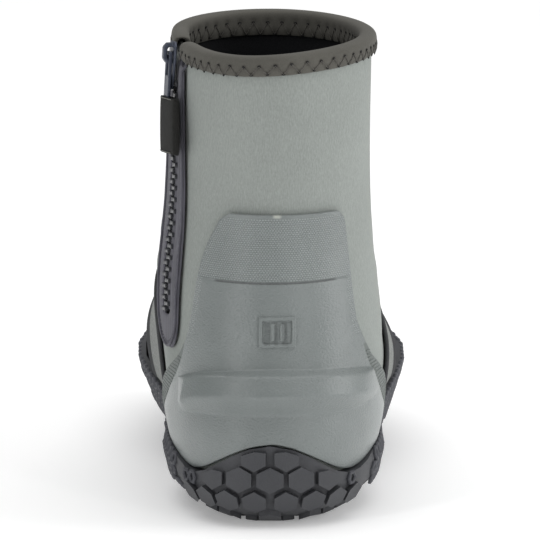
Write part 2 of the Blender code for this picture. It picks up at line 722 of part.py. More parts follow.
BIND_OUT, BIND_IN, BIND_THICK, BIND_TOP = 6.5, 9.0, 1.5, 2.3
BindPoint = namedtuple("BindPoint", "off z")
BIND_SECTION = [BindPoint(*row) for row in (
    (GAP, -BIND_OUT), (GAP + BIND_THICK, -BIND_OUT + 0.3), (GAP + BIND_THICK + 0.4, 0.2),
    (GAP + 0.4, BIND_TOP), (-WALL - GAP - 0.4, BIND_TOP), (-WALL - GAP - BIND_THICK - 0.4, 0.2),
    (-WALL - GAP - BIND_THICK, -BIND_IN + 0.3), (-WALL - GAP, -BIND_IN), (-WALL - GAP, GAP), (GAP, GAP))]
BIND_STATIONS = [i % UPPER_COLUMNS for i in range(SLOT_COLUMN + 1, SLOT_COLUMN + UPPER_COLUMNS + 1)]

binding = bmesh.new()
hoops = []
for i in BIND_STATIONS:
    u, side = upper_column(i, 193.0)
    top = collar_z(u, side)
    hoop = []
    for point in BIND_SECTION:
        z = top + min(0.0, point.z)
        over = Vector((0.0, 0.0, max(0.0, point.z)))
        hoop.append(binding.verts.new(skin(z, *upper_column(i, z), point.off) + over))
    hoops.append(hoop)
for near, far in zip(hoops, hoops[1:]):
    for a, b, c, d in zip(near, near[1:] + near[:1], far[1:] + far[:1], far):
        binding.faces.new([a, b, c, d])
outer_part, inner_part = (0, 1, 2, 3, 9), (3, 4, 8, 9)
last_part = (4, 5, 6, 7, 8)
for hoop in (hoops[0], hoops[-1]):
    for part in (outer_part, inner_part, last_part):
        binding.faces.new([hoop[k] for k in part])
add_object("collar_binding", binding, fabric)


TAPE_COLUMNS = (-13.0, -9.0, -4.8, 4.8, 9.0, 13.0)
TapeRow = namedtuple("TapeRow", "z share")
TAPE_TIP = [TapeRow(65.5, 0.36), TapeRow(68.0, 0.70), TapeRow(73.0, 0.93), TapeRow(79.0, 1.0)]
TAPE_LEVELS = (86.0, 94.0, 103.0, 113.0, 125.0, 140.0, 158.0, 172.0)
TAPE_ROWS = len(TAPE_TIP) + len(TAPE_LEVELS) + 1


def tape_place(key):
    row, i = key
    if row < len(TAPE_TIP):
        return TAPE_TIP[row].z, TAPE_COLUMNS[i] * TAPE_TIP[row].share
    if row < TAPE_ROWS - 1:
        return TAPE_LEVELS[row - len(TAPE_TIP)], TAPE_COLUMNS[i]
    top = collar_z(u_at(193.0, zip_y(193.0) + TAPE_COLUMNS[i], MEDIAL), MEDIAL)
    return top - BIND_OUT - 0.8, TAPE_COLUMNS[i]


def tape_out(key):
    return zip_point(*tape_place(key), GAP + TAPE_THICK)


def tape_in(key):
    return zip_point(*tape_place(key), GAP)


tape_cells = [c for c in grid(TAPE_ROWS, len(TAPE_COLUMNS))
              if c[0][1] != 2 or c[0][0] < len(TAPE_TIP) - 1]
add_object("zip_tape", shell_mesh(tape_cells, tape_out, tape_in), tape_cloth)

CHAIN_LEVELS = (80.0, 86.0, 94.0, 103.0, 113.0, 125.0, 140.0, 158.0, 174.0, 189.0)
CHAIN_ACROSS = (-CHAIN_HALF, 0.0, CHAIN_HALF)


def chain_out(key):
    return zip_point(CHAIN_LEVELS[key[0]], CHAIN_ACROSS[key[1]], CHAIN_OUT)


def chain_in(key):
    return zip_point(CHAIN_LEVELS[key[0]], CHAIN_ACROSS[key[1]], -CHAIN_IN)


add_object("zip_chain", shell_mesh(grid(len(CHAIN_LEVELS), 3), chain_out, chain_in), tooth)


# Slider and pull are laid out beside the zip: a up along it, b across, n outward.
SLIDER_Z = 182.0
PIVOT_A, PIVOT_N, PIVOT_R = 5.0, 4.45, 0.7
zip_seat = zip_point(SLIDER_Z, 0.0, 0.0)
zip_out = skin_normal(SLIDER_Z, u_at(SLIDER_Z, zip_y(SLIDER_Z), MEDIAL), MEDIAL)
zip_up = (zip_point(SLIDER_Z + 8.0, 0.0, 0.0) - zip_point(SLIDER_Z - 8.0, 0.0, 0.0)).normalized()
zip_out = (zip_out - zip_out.dot(zip_up) * zip_up).normalized()
zip_across = zip_up.cross(zip_out)


def beside(a, b, n):
    return zip_seat + a * zip_up + b * zip_across + n * zip_out


def prism(bm, outline, low, high, to_point):
    """Closed prism from a flat outline between two depths."""
    under = [bm.verts.new(to_point(p, low)) for p in outline]
    over = [bm.verts.new(to_point(p, high)) for p in outline]
    bm.faces.new(under)
    bm.faces.new(over[::-1])
    for a, b, c, d in zip(under, under[1:] + under[:1], over[1:] + over[:1], over):
        bm.faces.new([b, a, d, c])


SLIDER_FACE = [(-10.0, -2.4), (-10.0, 2.4), (-3.0, 4.4), (2.5, 6.2), (8.0, 6.2), (10.0, 4.4),
               (10.0, -4.4), (8.0, -6.2), (2.5, -6.2), (-3.0, -4.4)]
SLIDER_LOW, SLIDER_HIGH = CHAIN_OUT + 0.4, 3.4
BRIDGE = [(0.5, 2.9), (2.3, 2.9), (2.5, 5.0), (3.4, 5.6), (6.6, 5.6), (7.5, 5.0), (7.7, 2.9),
          (9.5, 2.9), (9.2, 5.8), (7.4, 7.2), (2.6, 7.2), (0.8, 5.8)]
BRIDGE_HALF = 2.0
body = bmesh.new()
prism(body, SLIDER_FACE, SLIDER_LOW, SLIDER_HIGH, lambda p, n: beside(p[0], p[1], n))
slider = add_object("zip_slider", body, slate)
arch = bmesh.new()
prism(arch, BRIDGE, -BRIDGE_HALF, BRIDGE_HALF, lambda p, b: beside(p[0], b, p[1]))
union(slider, add_object("slider_bridge", arch, slate))

LINK_HALF, LINK_BAR, LINK_LENGTH, LINK_WINDOW = 4.4, 1.8, 21.0, 9.2
link_rows = (PIVOT_A + PIVOT_R, PIVOT_A - PIVOT_R, PIVOT_A - LINK_WINDOW, PIVOT_A - LINK_LENGTH)
link_cols = (-LINK_HALF, LINK_BAR - LINK_HALF, LINK_HALF - LINK_BAR, LINK_HALF)
link = shell_mesh([c for c in grid(4, 4) if c[0] != (1, 1)],
                  lambda key: beside(link_rows[key[0]], link_cols[key[1]], PIVOT_N + PIVOT_R),
                  lambda key: beside(link_rows[key[0]], link_cols[key[1]], PIVOT_N - PIVOT_R))
pivot = beside(PIVOT_A, 0.0, PIVOT_N)
add_object("zip_pull", link, link_metal, pivot)

TAB_TOP, TAB_LENGTH, TAB_HALF, TAB_CLOTH, TAB_ROOM = -12.0, 25.0, 11.5, 0.9, 1.25
TAB_TURN, TAB_BACK, TAB_SLANT = math.radians(4.0), 4.5, 5.0
TAB_ROWS = 4


def tab_place(key, off):
    """Cloth sleeve flattened round the link, set back towards the heel."""
    j, i = key
    turn = math.pi / 6 * i
    reach = TAB_HALF - TAB_ROOM - TAB_CLOTH
    end = round(1.2 * math.cos(turn))
    across = reach * end + (TAB_ROOM + off) * math.cos(turn)
    n = (TAB_ROOM + off) * math.sin(turn)
    down = j / (TAB_ROWS - 1)
    b = across * math.cos(TAB_TURN) + n * math.sin(TAB_TURN) + TAB_BACK + TAB_SLANT * down
    out = PIVOT_N + n * math.cos(TAB_TURN) - b * math.sin(TAB_TURN)
    return beside(TAB_TOP - TAB_LENGTH * down, b, out)


add_object("pull_webbing", shell_mesh(
    grid(TAB_ROWS, 12, True), lambda key: tab_place(key, TAB_CLOTH), lambda key: tab_place(key, 0.0)),
    webbing, pivot)
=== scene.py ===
# %% [markdown]
# # Dressing a wading bootie
#
# The solids of the boot come ready made: a neoprene upper, a moulded heel counter, a rubber sole, a
# zip and its pull. They are plain and faceted. In this lesson each one is copied, rounded and given
# its finish, and the small things that a maker adds last are modelled: stitches, zip teeth, piping
# and the raised rings on the side of the sole. Everything is in metres, with the toe along +Y.

# %% Load the frame
import json
import math
from collections import namedtuple

import bpy
import numpy as np
from mathutils import Matrix, Vector
from mathutils.bvhtree import BVHTree

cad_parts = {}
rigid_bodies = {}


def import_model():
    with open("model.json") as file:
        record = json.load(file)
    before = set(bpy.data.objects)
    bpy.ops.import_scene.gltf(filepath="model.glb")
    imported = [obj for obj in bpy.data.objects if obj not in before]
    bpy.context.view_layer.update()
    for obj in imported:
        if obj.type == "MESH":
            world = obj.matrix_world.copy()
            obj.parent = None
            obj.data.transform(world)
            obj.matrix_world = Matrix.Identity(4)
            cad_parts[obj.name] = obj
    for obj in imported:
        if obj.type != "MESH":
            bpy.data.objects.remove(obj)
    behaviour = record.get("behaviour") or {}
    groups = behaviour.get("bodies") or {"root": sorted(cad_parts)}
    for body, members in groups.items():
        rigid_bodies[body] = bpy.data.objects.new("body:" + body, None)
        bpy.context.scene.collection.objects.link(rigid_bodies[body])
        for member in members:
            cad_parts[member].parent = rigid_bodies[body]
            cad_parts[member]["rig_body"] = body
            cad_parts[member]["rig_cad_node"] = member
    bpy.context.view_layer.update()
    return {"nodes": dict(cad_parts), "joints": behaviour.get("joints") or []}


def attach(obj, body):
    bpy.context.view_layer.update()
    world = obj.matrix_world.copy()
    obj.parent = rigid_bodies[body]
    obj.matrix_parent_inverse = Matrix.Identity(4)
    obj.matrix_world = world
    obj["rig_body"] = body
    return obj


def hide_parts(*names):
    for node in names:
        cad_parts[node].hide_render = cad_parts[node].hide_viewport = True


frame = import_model()
MM = 0.001
print("nodes:", ", ".join(sorted(frame["nodes"])))

# %% [markdown]
# ## A few hand tools
#
# Operators act on whatever is selected, so the first helper clears the selection and picks what is
# named. The second copies a node: its mesh is loose triangles, so the copy's doubles are merged and
# its triangles paired into quads before any rounding. A copy is rounded with a subdivision surface,
# which is applied so that later steps can push single points of the finished mesh. The last helper
# puts a piece on the body it rides on and hides the nodes it stands in for.


# %% Picking, copying and rounding
def pick(*things):
    bpy.ops.object.select_all(action="DESELECT")
    for thing in things:
        thing.select_set(True)
    bpy.context.view_layer.objects.active = things[0]


def copy_node(node, name, quads=True):
    pick(frame["nodes"][node])
    bpy.ops.object.duplicate()
    piece = bpy.context.active_object
    piece.name = name
    piece.data.name = name
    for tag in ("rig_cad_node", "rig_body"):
        del piece[tag]
    piece.parent = None
    piece.data.materials.clear()
    bpy.ops.mesh.customdata_custom_splitnormals_clear()
    bpy.ops.object.mode_set(mode="EDIT")
    bpy.ops.mesh.select_all(action="SELECT")
    bpy.ops.mesh.remove_doubles(threshold=0.02 * MM)
    if quads:
        bpy.ops.mesh.tris_convert_to_quads(
            face_threshold=math.radians(50), shape_threshold=math.radians(60))
    bpy.ops.object.mode_set(mode="OBJECT")
    return piece


def apply_modifier(piece, kind, **settings):
    pick(piece)
    modifier = piece.modifiers.new("step", kind)
    for name, value in settings.items():
        setattr(modifier, name, value)
    bpy.ops.object.modifier_apply(modifier=modifier.name)


def rounded(piece, levels):
    apply_modifier(piece, "SUBSURF", levels=levels, render_levels=levels)
    bpy.ops.object.shade_smooth()
    print(piece.name, len(piece.data.polygons), "faces")


def edit_sharp_edges(piece, angle):
    """Edit mode, with the edges selected that fold by more than an angle."""
    pick(piece)
    bpy.ops.object.mode_set(mode="EDIT")
    bpy.ops.mesh.select_mode(type="EDGE")
    bpy.ops.mesh.select_all(action="DESELECT")
    bpy.ops.mesh.edges_select_sharp(sharpness=math.radians(angle))


def leave_edges():
    bpy.ops.mesh.select_mode(type="VERT")
    bpy.ops.object.mode_set(mode="OBJECT")


def bevel_sharp(piece, width, angle, segments):
    edit_sharp_edges(piece, angle)
    bpy.ops.mesh.bevel(offset=width * MM, segments=segments, affect="EDGES", clamp_overlap=True)
    leave_edges()


def finish_piece(piece, body, slot, *nodes):
    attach(piece, body)
    if nodes:
        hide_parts(*nodes)


# %% [markdown]
# ## Feeling for a surface
#
# Stitches and teeth have to sit on what carries them, so their places are felt for with rays: a
# ray is sent at a node's own triangles, and where it lands gives the point and the direction that
# the surface faces there. A small shape is modelled once, stood at each such place and joined.


# %% Rays, places and copies
def tree_of(thing):
    corners = [v.co.copy() for v in thing.data.vertices]
    return BVHTree.FromPolygons(corners, [tuple(p.vertices) for p in thing.data.polygons])


trees = {node: tree_of(thing) for node, thing in frame["nodes"].items()}
FAR_OUT, RAY_REACH = 0.2, 0.4


def steps(start, stop, step):
    """Even numbers from a start up to a stop."""
    return [start + step * k for k in range(math.ceil((stop - start) / step))]


def feel(node, start, way):
    """Point and outward direction where a ray meets a node, or nothing."""
    hit, normal, _, _ = trees[node].ray_cast(Vector(start), Vector(way).normalized(), RAY_REACH)
    if hit is not None and normal.dot(Vector(way)) > 0.0:
        normal = -normal
    return (hit, normal) if hit is not None else None


def stand(at, out, along):
    """Place with its z axis outwards and its x axis along."""
    z = Vector(out).normalized()
    x = (Vector(along) - Vector(along).dot(z) * z).normalized()
    return Matrix.Translation(at) @ Matrix((x, z.cross(x), z)).transposed().to_4x4()


def between(start, end, out):
    """Place for a thing one unit long, stretched from one point to another."""
    along = end - start
    return stand((start + end) / 2.0, out, along) @ Matrix.Diagonal((along.length, 1.0, 1.0, 1.0))


def joined(things, name):
    """One piece made of several."""
    pick(*things)
    bpy.ops.object.join()
    made = bpy.context.active_object
    made.name = name
    made.data.name = name
    return made


def scatter(pattern, places, name):
    """One piece joined from copies of a pattern, each with a mesh of its own."""
    copies = []
    for place in places:
        twin = pattern.copy()
        twin.data = pattern.data.copy()
        twin.matrix_world = place
        bpy.context.collection.objects.link(twin)
        copies.append(twin)
    bpy.data.objects.remove(pattern)
    made = joined(copies, name)
    bpy.ops.object.transform_apply(location=True, rotation=True, scale=True)
    bpy.ops.object.shade_smooth_by_angle(angle=math.radians(50))
    print(name, len(places), "copies,", len(made.data.polygons), "faces")
    return made


STITCH_CUT, STITCH_TAPER, STITCH_SINK = 0.36, 0.55, 0.4


def thread_pattern(radius):
    """A stitch one unit long: a rod whose ends are drawn in."""
    bpy.ops.object.select_all(action="DESELECT")
    bpy.ops.mesh.primitive_cylinder_add(
        vertices=8, radius=radius * MM, depth=1.0, rotation=(0, math.pi / 2, 0))
    rod = bpy.context.active_object
    bpy.ops.object.transform_apply(rotation=True)
    bpy.ops.object.mode_set(mode="EDIT")
    for cut in (-STITCH_CUT, STITCH_CUT):
        bpy.ops.mesh.select_all(action="SELECT")
        bpy.ops.mesh.bisect(plane_co=(cut, 0, 0), plane_no=(1, 0, 0))
    bpy.ops.object.mode_set(mode="OBJECT")
    for vertex in rod.data.vertices:
        if abs(vertex.co.x) > STITCH_CUT + 0.05:
            vertex.co.y *= STITCH_TAPER
            vertex.co.z = STITCH_TAPER * vertex.co.z - STITCH_SINK * radius * MM
    return rod


# %% [markdown]
# ## Writing shaders as sums
#
# A finish is worked out from waves, noise and masks. To keep that readable, a small class wraps a
# socket and adds a Math node whenever two values are added or multiplied, so `1 - mask` can be
# written as it is said. Every other node comes from one method that takes the node's type, its
# settings and what goes into its sockets.


# %% Sockets with arithmetic
class Wire:
    """A value in a shader."""

    def __init__(self, finish, socket):
        self.finish = finish
        self.socket = socket

    def math(self, operation, *values, clamp=False):
        sockets = dict(enumerate(values))
        return self.finish.node("ShaderNodeMath", {"operation": operation, "use_clamp": clamp}, sockets)

    def __add__(self, other):
        return self.math("ADD", self, other)

    def __radd__(self, other):
        return self.math("ADD", other, self)

    def __sub__(self, other):
        return self.math("SUBTRACT", self, other)

    def __rsub__(self, other):
        return self.math("SUBTRACT", other, self)

    def __mul__(self, other):
        return self.math("MULTIPLY", self, other)

    def __rmul__(self, other):
        return self.math("MULTIPLY", other, self)

    def sin(self):
        return self.math("SINE", self)

    def abs(self):
        return self.math("ABSOLUTE", self)

    def beyond(self, edge, soft):
        """0 below an edge and 1 above it, with a soft step."""
        return self.math("MULTIPLY_ADD", self, 1.0 / soft, 0.5 - edge / soft, clamp=True)


class Finish:
    """A material and the nodes that work it out."""

    def __init__(self, name):
        self.material = bpy.data.materials.new(name)
        self.material.use_nodes = True
        self.tree = self.material.node_tree
        self.shader = self.tree.nodes["Principled BSDF"]

    def node(self, kind, settings=None, sockets=None, out=0):
        made = self.tree.nodes.new(kind)
        for name, value in (settings or {}).items():
            setattr(made, name, value)
        for key, value in (sockets or {}).items():
            self.plug(made.inputs[key], value)
        return Wire(self, made.outputs[out])

    def plug(self, socket, value):
        if isinstance(value, Wire):
            self.tree.links.new(value.socket, socket)
        else:
            socket.default_value = value

    def set(self, **values):
        """Sockets of the shader, named with underscores for spaces."""
        for name, value in values.items():
            self.plug(self.shader.inputs[name.replace("_", " ")], value)
        return self

    def place(self):
        """The piece's own coordinates, in metres."""
        return self.node("ShaderNodeTexCoord", out=3)

    def part(self, vector):
        split = self.node("ShaderNodeSeparateXYZ", sockets={0: vector})
        outputs = split.socket.node.outputs
        return [Wire(self, outputs[k]) for k in range(3)]

    def stretched(self, scale):
        """The piece's coordinates, closer together along an axis with a larger scale."""
        return self.node("ShaderNodeMapping", {"vector_type": "POINT"}, {0: self.place(), 3: scale})

    def noise(self, scale, detail=2.0, vector=None):
        sockets = {"Vector": vector or self.place(), "Scale": scale, "Detail": detail}
        return self.node("ShaderNodeTexNoise", sockets=sockets)

    def mix(self, share, low, high):
        settings = {"data_type": "RGBA", "clamp_factor": True}
        return self.node("ShaderNodeMix", settings, {0: share, 6: low, 7: high}, out=2)

    def bump(self, height, depth, strength=1.0):
        """Relief in metres; depth is what a height of 1 stands for."""
        sockets = {"Height": height, "Distance": depth * MM, "Strength": strength}
        self.set(Normal=self.node("ShaderNodeBump", sockets=sockets))
        return self


def paint(red, green, blue):
    """A colour as a screen shows it, 0 to 255, made linear for the shader."""
    def linear(v):
        v /= 255.0
        return v / 12.92 if v <= 0.04045 else ((v + 0.055) / 1.055) ** 2.4
    return (linear(red), linear(green), linear(blue), 1.0)


# %% [markdown]
# ## Neoprene upper
#
# The upper is foam rubber with a knitted face: a thick soft wall with few sharp edges. The copy is
# rounded twice, so that its points lie about 2 mm apart. Each point then looks around itself, and
# where most looks meet the wall again, it lies inside the boot. Creases are listed. Each is a
# trough between two low ridges, along a curve in the boot's own millimetres: across the front of
# the ankle, where the boot bends at each step, down its sides, over the ball of the foot, and more
# faintly round the shaft and above the heel.

# %% Round the upper and find its inside
upper = copy_node("upper", "neoprene_upper")
rounded(upper, 2)
trees[upper.name] = tree_of(upper)


def points_of(piece):
    flat = np.empty(len(piece.data.vertices) * 3)
    piece.data.vertices.foreach_get("co", flat)
    return flat.reshape(-1, 3)


def normals_of(piece):
    flat = np.empty(len(piece.data.vertices) * 3)
    piece.data.vertex_normals.foreach_get("vector", flat)
    return flat.reshape(-1, 3)


LOOKS = [(math.cos(k * math.pi / 4), math.sin(k * math.pi / 4)) for k in range(8)]
LOOK_START, LOOK_REACH, LOOK_TILT, LOOKS_MET, SHAFT_Z = 0.8, 300.0, 0.2, 6, 150.0


def faces_inwards(point, normal):
    """True where most looks around, from just off the wall, meet the upper again."""
    start = Vector(point) + LOOK_START * MM * Vector(normal)
    tilt = -LOOK_TILT if start.z > SHAFT_Z * MM else LOOK_TILT
    looks = [Vector((x, y, tilt)).normalized() for x, y in LOOKS]
    hits = [trees[upper.name].ray_cast(start, look, LOOK_REACH * MM)[0] for look in looks]
    return sum(hit is not None for hit in hits) >= LOOKS_MET


upper_inside = np.array([faces_inwards(p, n) for p, n in zip(points_of(upper), normals_of(upper))])
print("inside points:", int(upper_inside.sum()), "of", len(upper_inside))

# %% Lay the creases
Crease = namedtuple("Crease", "start middle end width depth")
CREASES = [Crease(*row) for row in (
    ((-40, -40, 117), (0, -4, 120), (38, -42, 119), 6.5, 2.8),
    ((-38, -46, 137), (3, -12, 135), (37, -46, 133), 7.0, 2.4),
    ((30, -22, 84), (40, -46, 99), (43, -72, 106), 9.0, 1.1),
    ((-36, -14, 84), (-44, -44, 99), (-43, -66, 110), 8.0, 1.4),
    ((-40, 42, 54), (-2, 46, 79), (38, 40, 54), 5.5, 2.2),
    ((-38, 63, 48), (0, 64, 70), (36, 60, 48), 5.0, 1.8),
    ((42, -62, 154), (36, -36, 150), (12, -22, 153), 9.0, 1.7),
    ((-36, -44, 161), (-24, -30, 157), (2, -20, 160), 8.0, 1.5),
    ((-16, -136, 134), (4, -140, 133), (22, -135, 134), 5.0, 0.5),
)]
CREASE_STEPS = 28
WALL, TROUGH_WIDTH, RIDGE_WIDTH, RIDGE_HEIGHT = 3.0, 0.42, 0.5, 0.45


def crease_path(crease, node):
    """A curve through three marks, laid on a node's surface."""
    start, middle, end = (Vector(p) * MM for p in crease[:3])
    handle = 2.0 * middle - (start + end) / 2.0
    path = []
    for k in range(CREASE_STEPS + 1):
        t = k / CREASE_STEPS
        point = (1 - t) ** 2 * start + 2 * t * (1 - t) * handle + t ** 2 * end
        path.append(trees[node].find_nearest(point)[0])
    return np.array([tuple(p) for p in path])


def press_creases(piece, creases, node, inside):
    """Push both faces of a wall along its outward direction, deepest at a crease's middle."""
    spots = points_of(piece)
    outward = normals_of(piece) * np.where(inside, -1.0, 1.0)[:, None]
    move = np.zeros(len(spots))
    for crease in creases:
        path = crease_path(crease, node)
        apart = np.linalg.norm(spots[:, None, :] - path[None, :, :], axis=2)
        nearest = apart.argmin(axis=1)
        gap = np.maximum(0.0, apart.min(axis=1) / MM - np.where(inside, WALL, 0.0))
        fade = np.sin(np.pi * np.clip(nearest / (len(path) - 1), 0.02, 0.98)) ** 0.7
        trough = np.exp(-(gap / (TROUGH_WIDTH * crease.width)) ** 2)
        ridge = np.exp(-((gap - crease.width) / (RIDGE_WIDTH * crease.width)) ** 2)
        move += crease.depth * MM * fade * (RIDGE_HEIGHT * ridge - trough)
    piece.data.vertices.foreach_set("co", (spots + outward * move[:, None]).ravel())
    piece.data.update()


press_creases(upper, CREASES, "upper", upper_inside)
finish_piece(upper, "boot", "neoprene", "upper")

# %% [markdown]
# ## Neoprene's finish and its lining
#
# The knitted face is a pale grey with a fine upright grain, so its noise is stretched along Z. A
# much broader noise keeps large areas from looking printed. The inside is black plush. It is the
# same piece, so the faces that look into the boot take a second material.

# %% Knit outside, plush inside
knit = Finish("grey_knit")
grain = knit.noise(1.0, 2.0, knit.stretched((2600, 2600, 520)))
loops = knit.noise(1.0, 1.0, knit.stretched((1500, 1500, 1100)))
broad = knit.noise(26.0, 2.0)
tone = 0.62 * grain + 0.28 * loops + 0.3 * broad
knit_grey = knit.mix(tone.beyond(0.6, 0.62), paint(132, 137, 133), paint(163, 168, 164))
knit.set(Base_Color=knit_grey, Roughness=0.92)
knit.set(Sheen_Weight=0.06, Sheen_Roughness=0.45, Specular_IOR_Level=0.25)
knit.bump(grain + 0.6 * loops, 0.16, 0.55)

plush = Finish("black_plush")
pile = plush.noise(1900.0, 2.0)
plush.set(Base_Color=plush.mix(pile, paint(16, 16, 18), paint(40, 41, 43)))
plush.set(Roughness=0.95, Specular_IOR_Level=0.2)
plush.bump(pile, 0.15, 0.6)

upper.data.materials.append(knit.material)
upper.data.materials.append(plush.material)
for face in upper.data.polygons:
    if sum(bool(upper_inside[k]) for k in face.vertices) * 2 > len(face.vertices):
        face.material_index = 1

# %% [markdown]
# ## Heel counter
#
# The counter is moulded in one piece from firm rubbery plastic. Its folds are crisp but not sharp,
# so the copy's sharp edges are creased before it is rounded: the sharper the fold, the stronger the
# crease. A fine knurl covers its upper panel and its side strips. It is made of small pointed
# diamonds, one modelled and the rest copied, because a mould cuts it as deep as a fingernail feels.

# %% Crease and round the counter
counter = copy_node("heel_counter", "moulded_heel_counter")


def crease_sharp(piece, angle, amount):
    edit_sharp_edges(piece, angle)
    bpy.ops.transform.edge_crease(value=amount)
    leave_edges()


crease_sharp(counter, 17.0, 0.55)
crease_sharp(counter, 55.0, 0.4)
rounded(counter, 3)
trees[counter.name] = tree_of(counter)
finish_piece(counter, "boot", "counter_tpu", "heel_counter")

# %% Knurl the upper panel and the side strips
HEEL_MIDDLE_Y, HEEL_RADIUS, HEEL_REACH = -105.0, 42.0, 90.0
PANEL_LEFT, PANEL_RIGHT, PANEL_TOP, GROOVE_Z = -48.0, 50.0, 129.0, 101.0
STRIP_FOOT, STRIP_WIDTH = 78.0, 5.2
KNURL_STEP, KNURL_ROW, KNURL_SINK = 1.6, 0.86, 0.02
DIAMOND_BASE, DIAMOND_TIP, DIAMOND_HEIGHT, DIAMOND_WAIST = 0.92, 0.2, 0.5, 0.68
EDGE_MARKS = ((-1.3, 0.0), (1.3, 0.0), (0.0, 1.2))


def on_heel(arc, z):
    """Point of the counter at a length round the heel and a height, in millimetres."""
    turn = arc / HEEL_RADIUS
    way = Vector((math.sin(turn), -math.cos(turn), 0.0))
    start = Vector((0.0, HEEL_MIDDLE_Y * MM, z * MM)) + 0.1 * way
    found = feel(counter.name, start, -way)
    return found if found and (found[0] - start).length < HEEL_REACH * MM else None


def knurled(arc, z):
    """True on the upper panel, and below its groove on the strips along the edges."""
    if not all(on_heel(arc + a, z + b) for a, b in EDGE_MARKS):
        return False
    return z > GROOVE_Z + 0.6 or on_heel(arc + math.copysign(STRIP_WIDTH, arc), z) is None


bpy.ops.object.select_all(action="DESELECT")
bpy.ops.mesh.primitive_cone_add(
    vertices=4, radius1=DIAMOND_BASE * MM, radius2=DIAMOND_TIP * MM, depth=DIAMOND_HEIGHT * MM)
diamond = bpy.context.active_object
bpy.ops.object.mode_set(mode="EDIT")
bpy.ops.mesh.select_all(action="SELECT")
bpy.ops.transform.resize(value=(DIAMOND_WAIST, 1.0, 1.0))
bpy.ops.object.mode_set(mode="OBJECT")

knurl_places = []
for row, z in enumerate(steps(STRIP_FOOT, PANEL_TOP, KNURL_ROW)):
    for arc in steps(PANEL_LEFT + 0.5 * KNURL_STEP * (row % 2), PANEL_RIGHT, KNURL_STEP):
        if knurled(arc, z):
            at, out = on_heel(arc, z)
            knurl_places.append(stand(at - KNURL_SINK * MM * out, out, (0.0, 0.0, 1.0)))
knurl = scatter(diamond, knurl_places, "counter_knurl")
finish_piece(knurl, "boot", "counter_tpu")

# %% [markdown]
# ## Ribs on the counter's wings
#
# Forward of a bent line on either side, the counter thins to a wing with fine level ribs. Each rib
# is a cord laid along one height, from that line to the front edge of the wing.


# %% Lay the ribs
def tube(path, radius, name, lift):
    """A cord through points that were felt for."""
    bpy.ops.object.select_all(action="DESELECT")
    bpy.ops.curve.primitive_nurbs_path_add()
    cord = bpy.context.active_object
    cord.data.splines.clear()
    spline = cord.data.splines.new("POLY")
    spline.points.add(len(path) - 1)
    for spot, (at, out) in zip(spline.points, path):
        spot.co = (*(at + lift * MM * out), 1.0)
    cord.data.dimensions = "3D"
    cord.data.bevel_depth = radius * MM
    cord.data.bevel_resolution = 1
    cord.data.use_fill_caps = True
    bpy.ops.object.convert(target="MESH")
    cord = bpy.context.active_object
    cord.name = name
    cord.data.name = name
    bpy.ops.object.transform_apply(location=True, rotation=True, scale=True)
    bpy.ops.object.shade_smooth()
    return cord


RIB_STEP, RIB_RADIUS, RIB_SINK, RIB_GAP, RIB_MARK = 1.5, 0.42, 0.14, 1.2, 1.5
WING_REAR, WING_FRONT, WING_FOOT, WING_TOP, WING_BEND = -120.0, -58.0, 38.0, 73.0, 0.033
WING_X = 20.0


def rib_path(side, z):
    """Points of the wing at one height, from the bent line forwards."""
    rear = WING_REAR + WING_BEND * (WING_TOP - z) ** 2
    path = []
    for y in steps(rear + RIB_GAP, WING_FRONT, RIB_MARK):
        found = feel(counter.name, (FAR_OUT * side, y * MM, z * MM), (-side, 0.0, 0.0))
        above = feel(counter.name, (FAR_OUT * side, y * MM, (z + 1.0) * MM), (-side, 0.0, 0.0))
        if found and above and min(found[0].x * side, above[0].x * side) > WING_X * MM:
            path.append(found)
        elif path:
            break
    return path


ribs = []
for side in (-1, 1):
    for z in steps(WING_FOOT, WING_TOP - 1.0, RIB_STEP):
        path = rib_path(side, z)
        if len(path) > 2:
            ribs.append(tube(path, RIB_RADIUS, "rib", -RIB_SINK))
wing_ribs = joined(ribs, "counter_wing_ribs")
finish_piece(wing_ribs, "boot", "counter_tpu")
print("ribs:", len(ribs))

# %% [markdown]
# ## Moulded plastic's finish
#
# The plastic is a cool grey with a leathery grain that breaks its sheen into sparks. The groove
# above the raised panel is painted dark along its whole line, painted shade with a little dirt, and
# the floor of the small frame is painted dark as painted shade. The wings are duller and darker than
# the rest. The top edge is rubbed pale at one spot. The knurl takes a lighter tone, a painted
# highlight where its points catch light, and it has next to no grain of its own.


# %% Grain, sheen, painted shade in the groove and the frame, and the dull wings
FRAME_ARC, FRAME_Z, FRAME_HALF, FRAME_RIB = 2.75, 81.0, 5.3, 1.8
GROOVE_ARC, GROOVE_HALF, SCUFF_ARC, SCUFF_HALF = 3.0, 34.0, 4.0, 2.0
scuff_top = max(z for z in steps(118.0, 136.0, 0.25) if on_heel(SCUFF_ARC, z))
print("top edge of the counter at its scuff:", scuff_top, "mm")


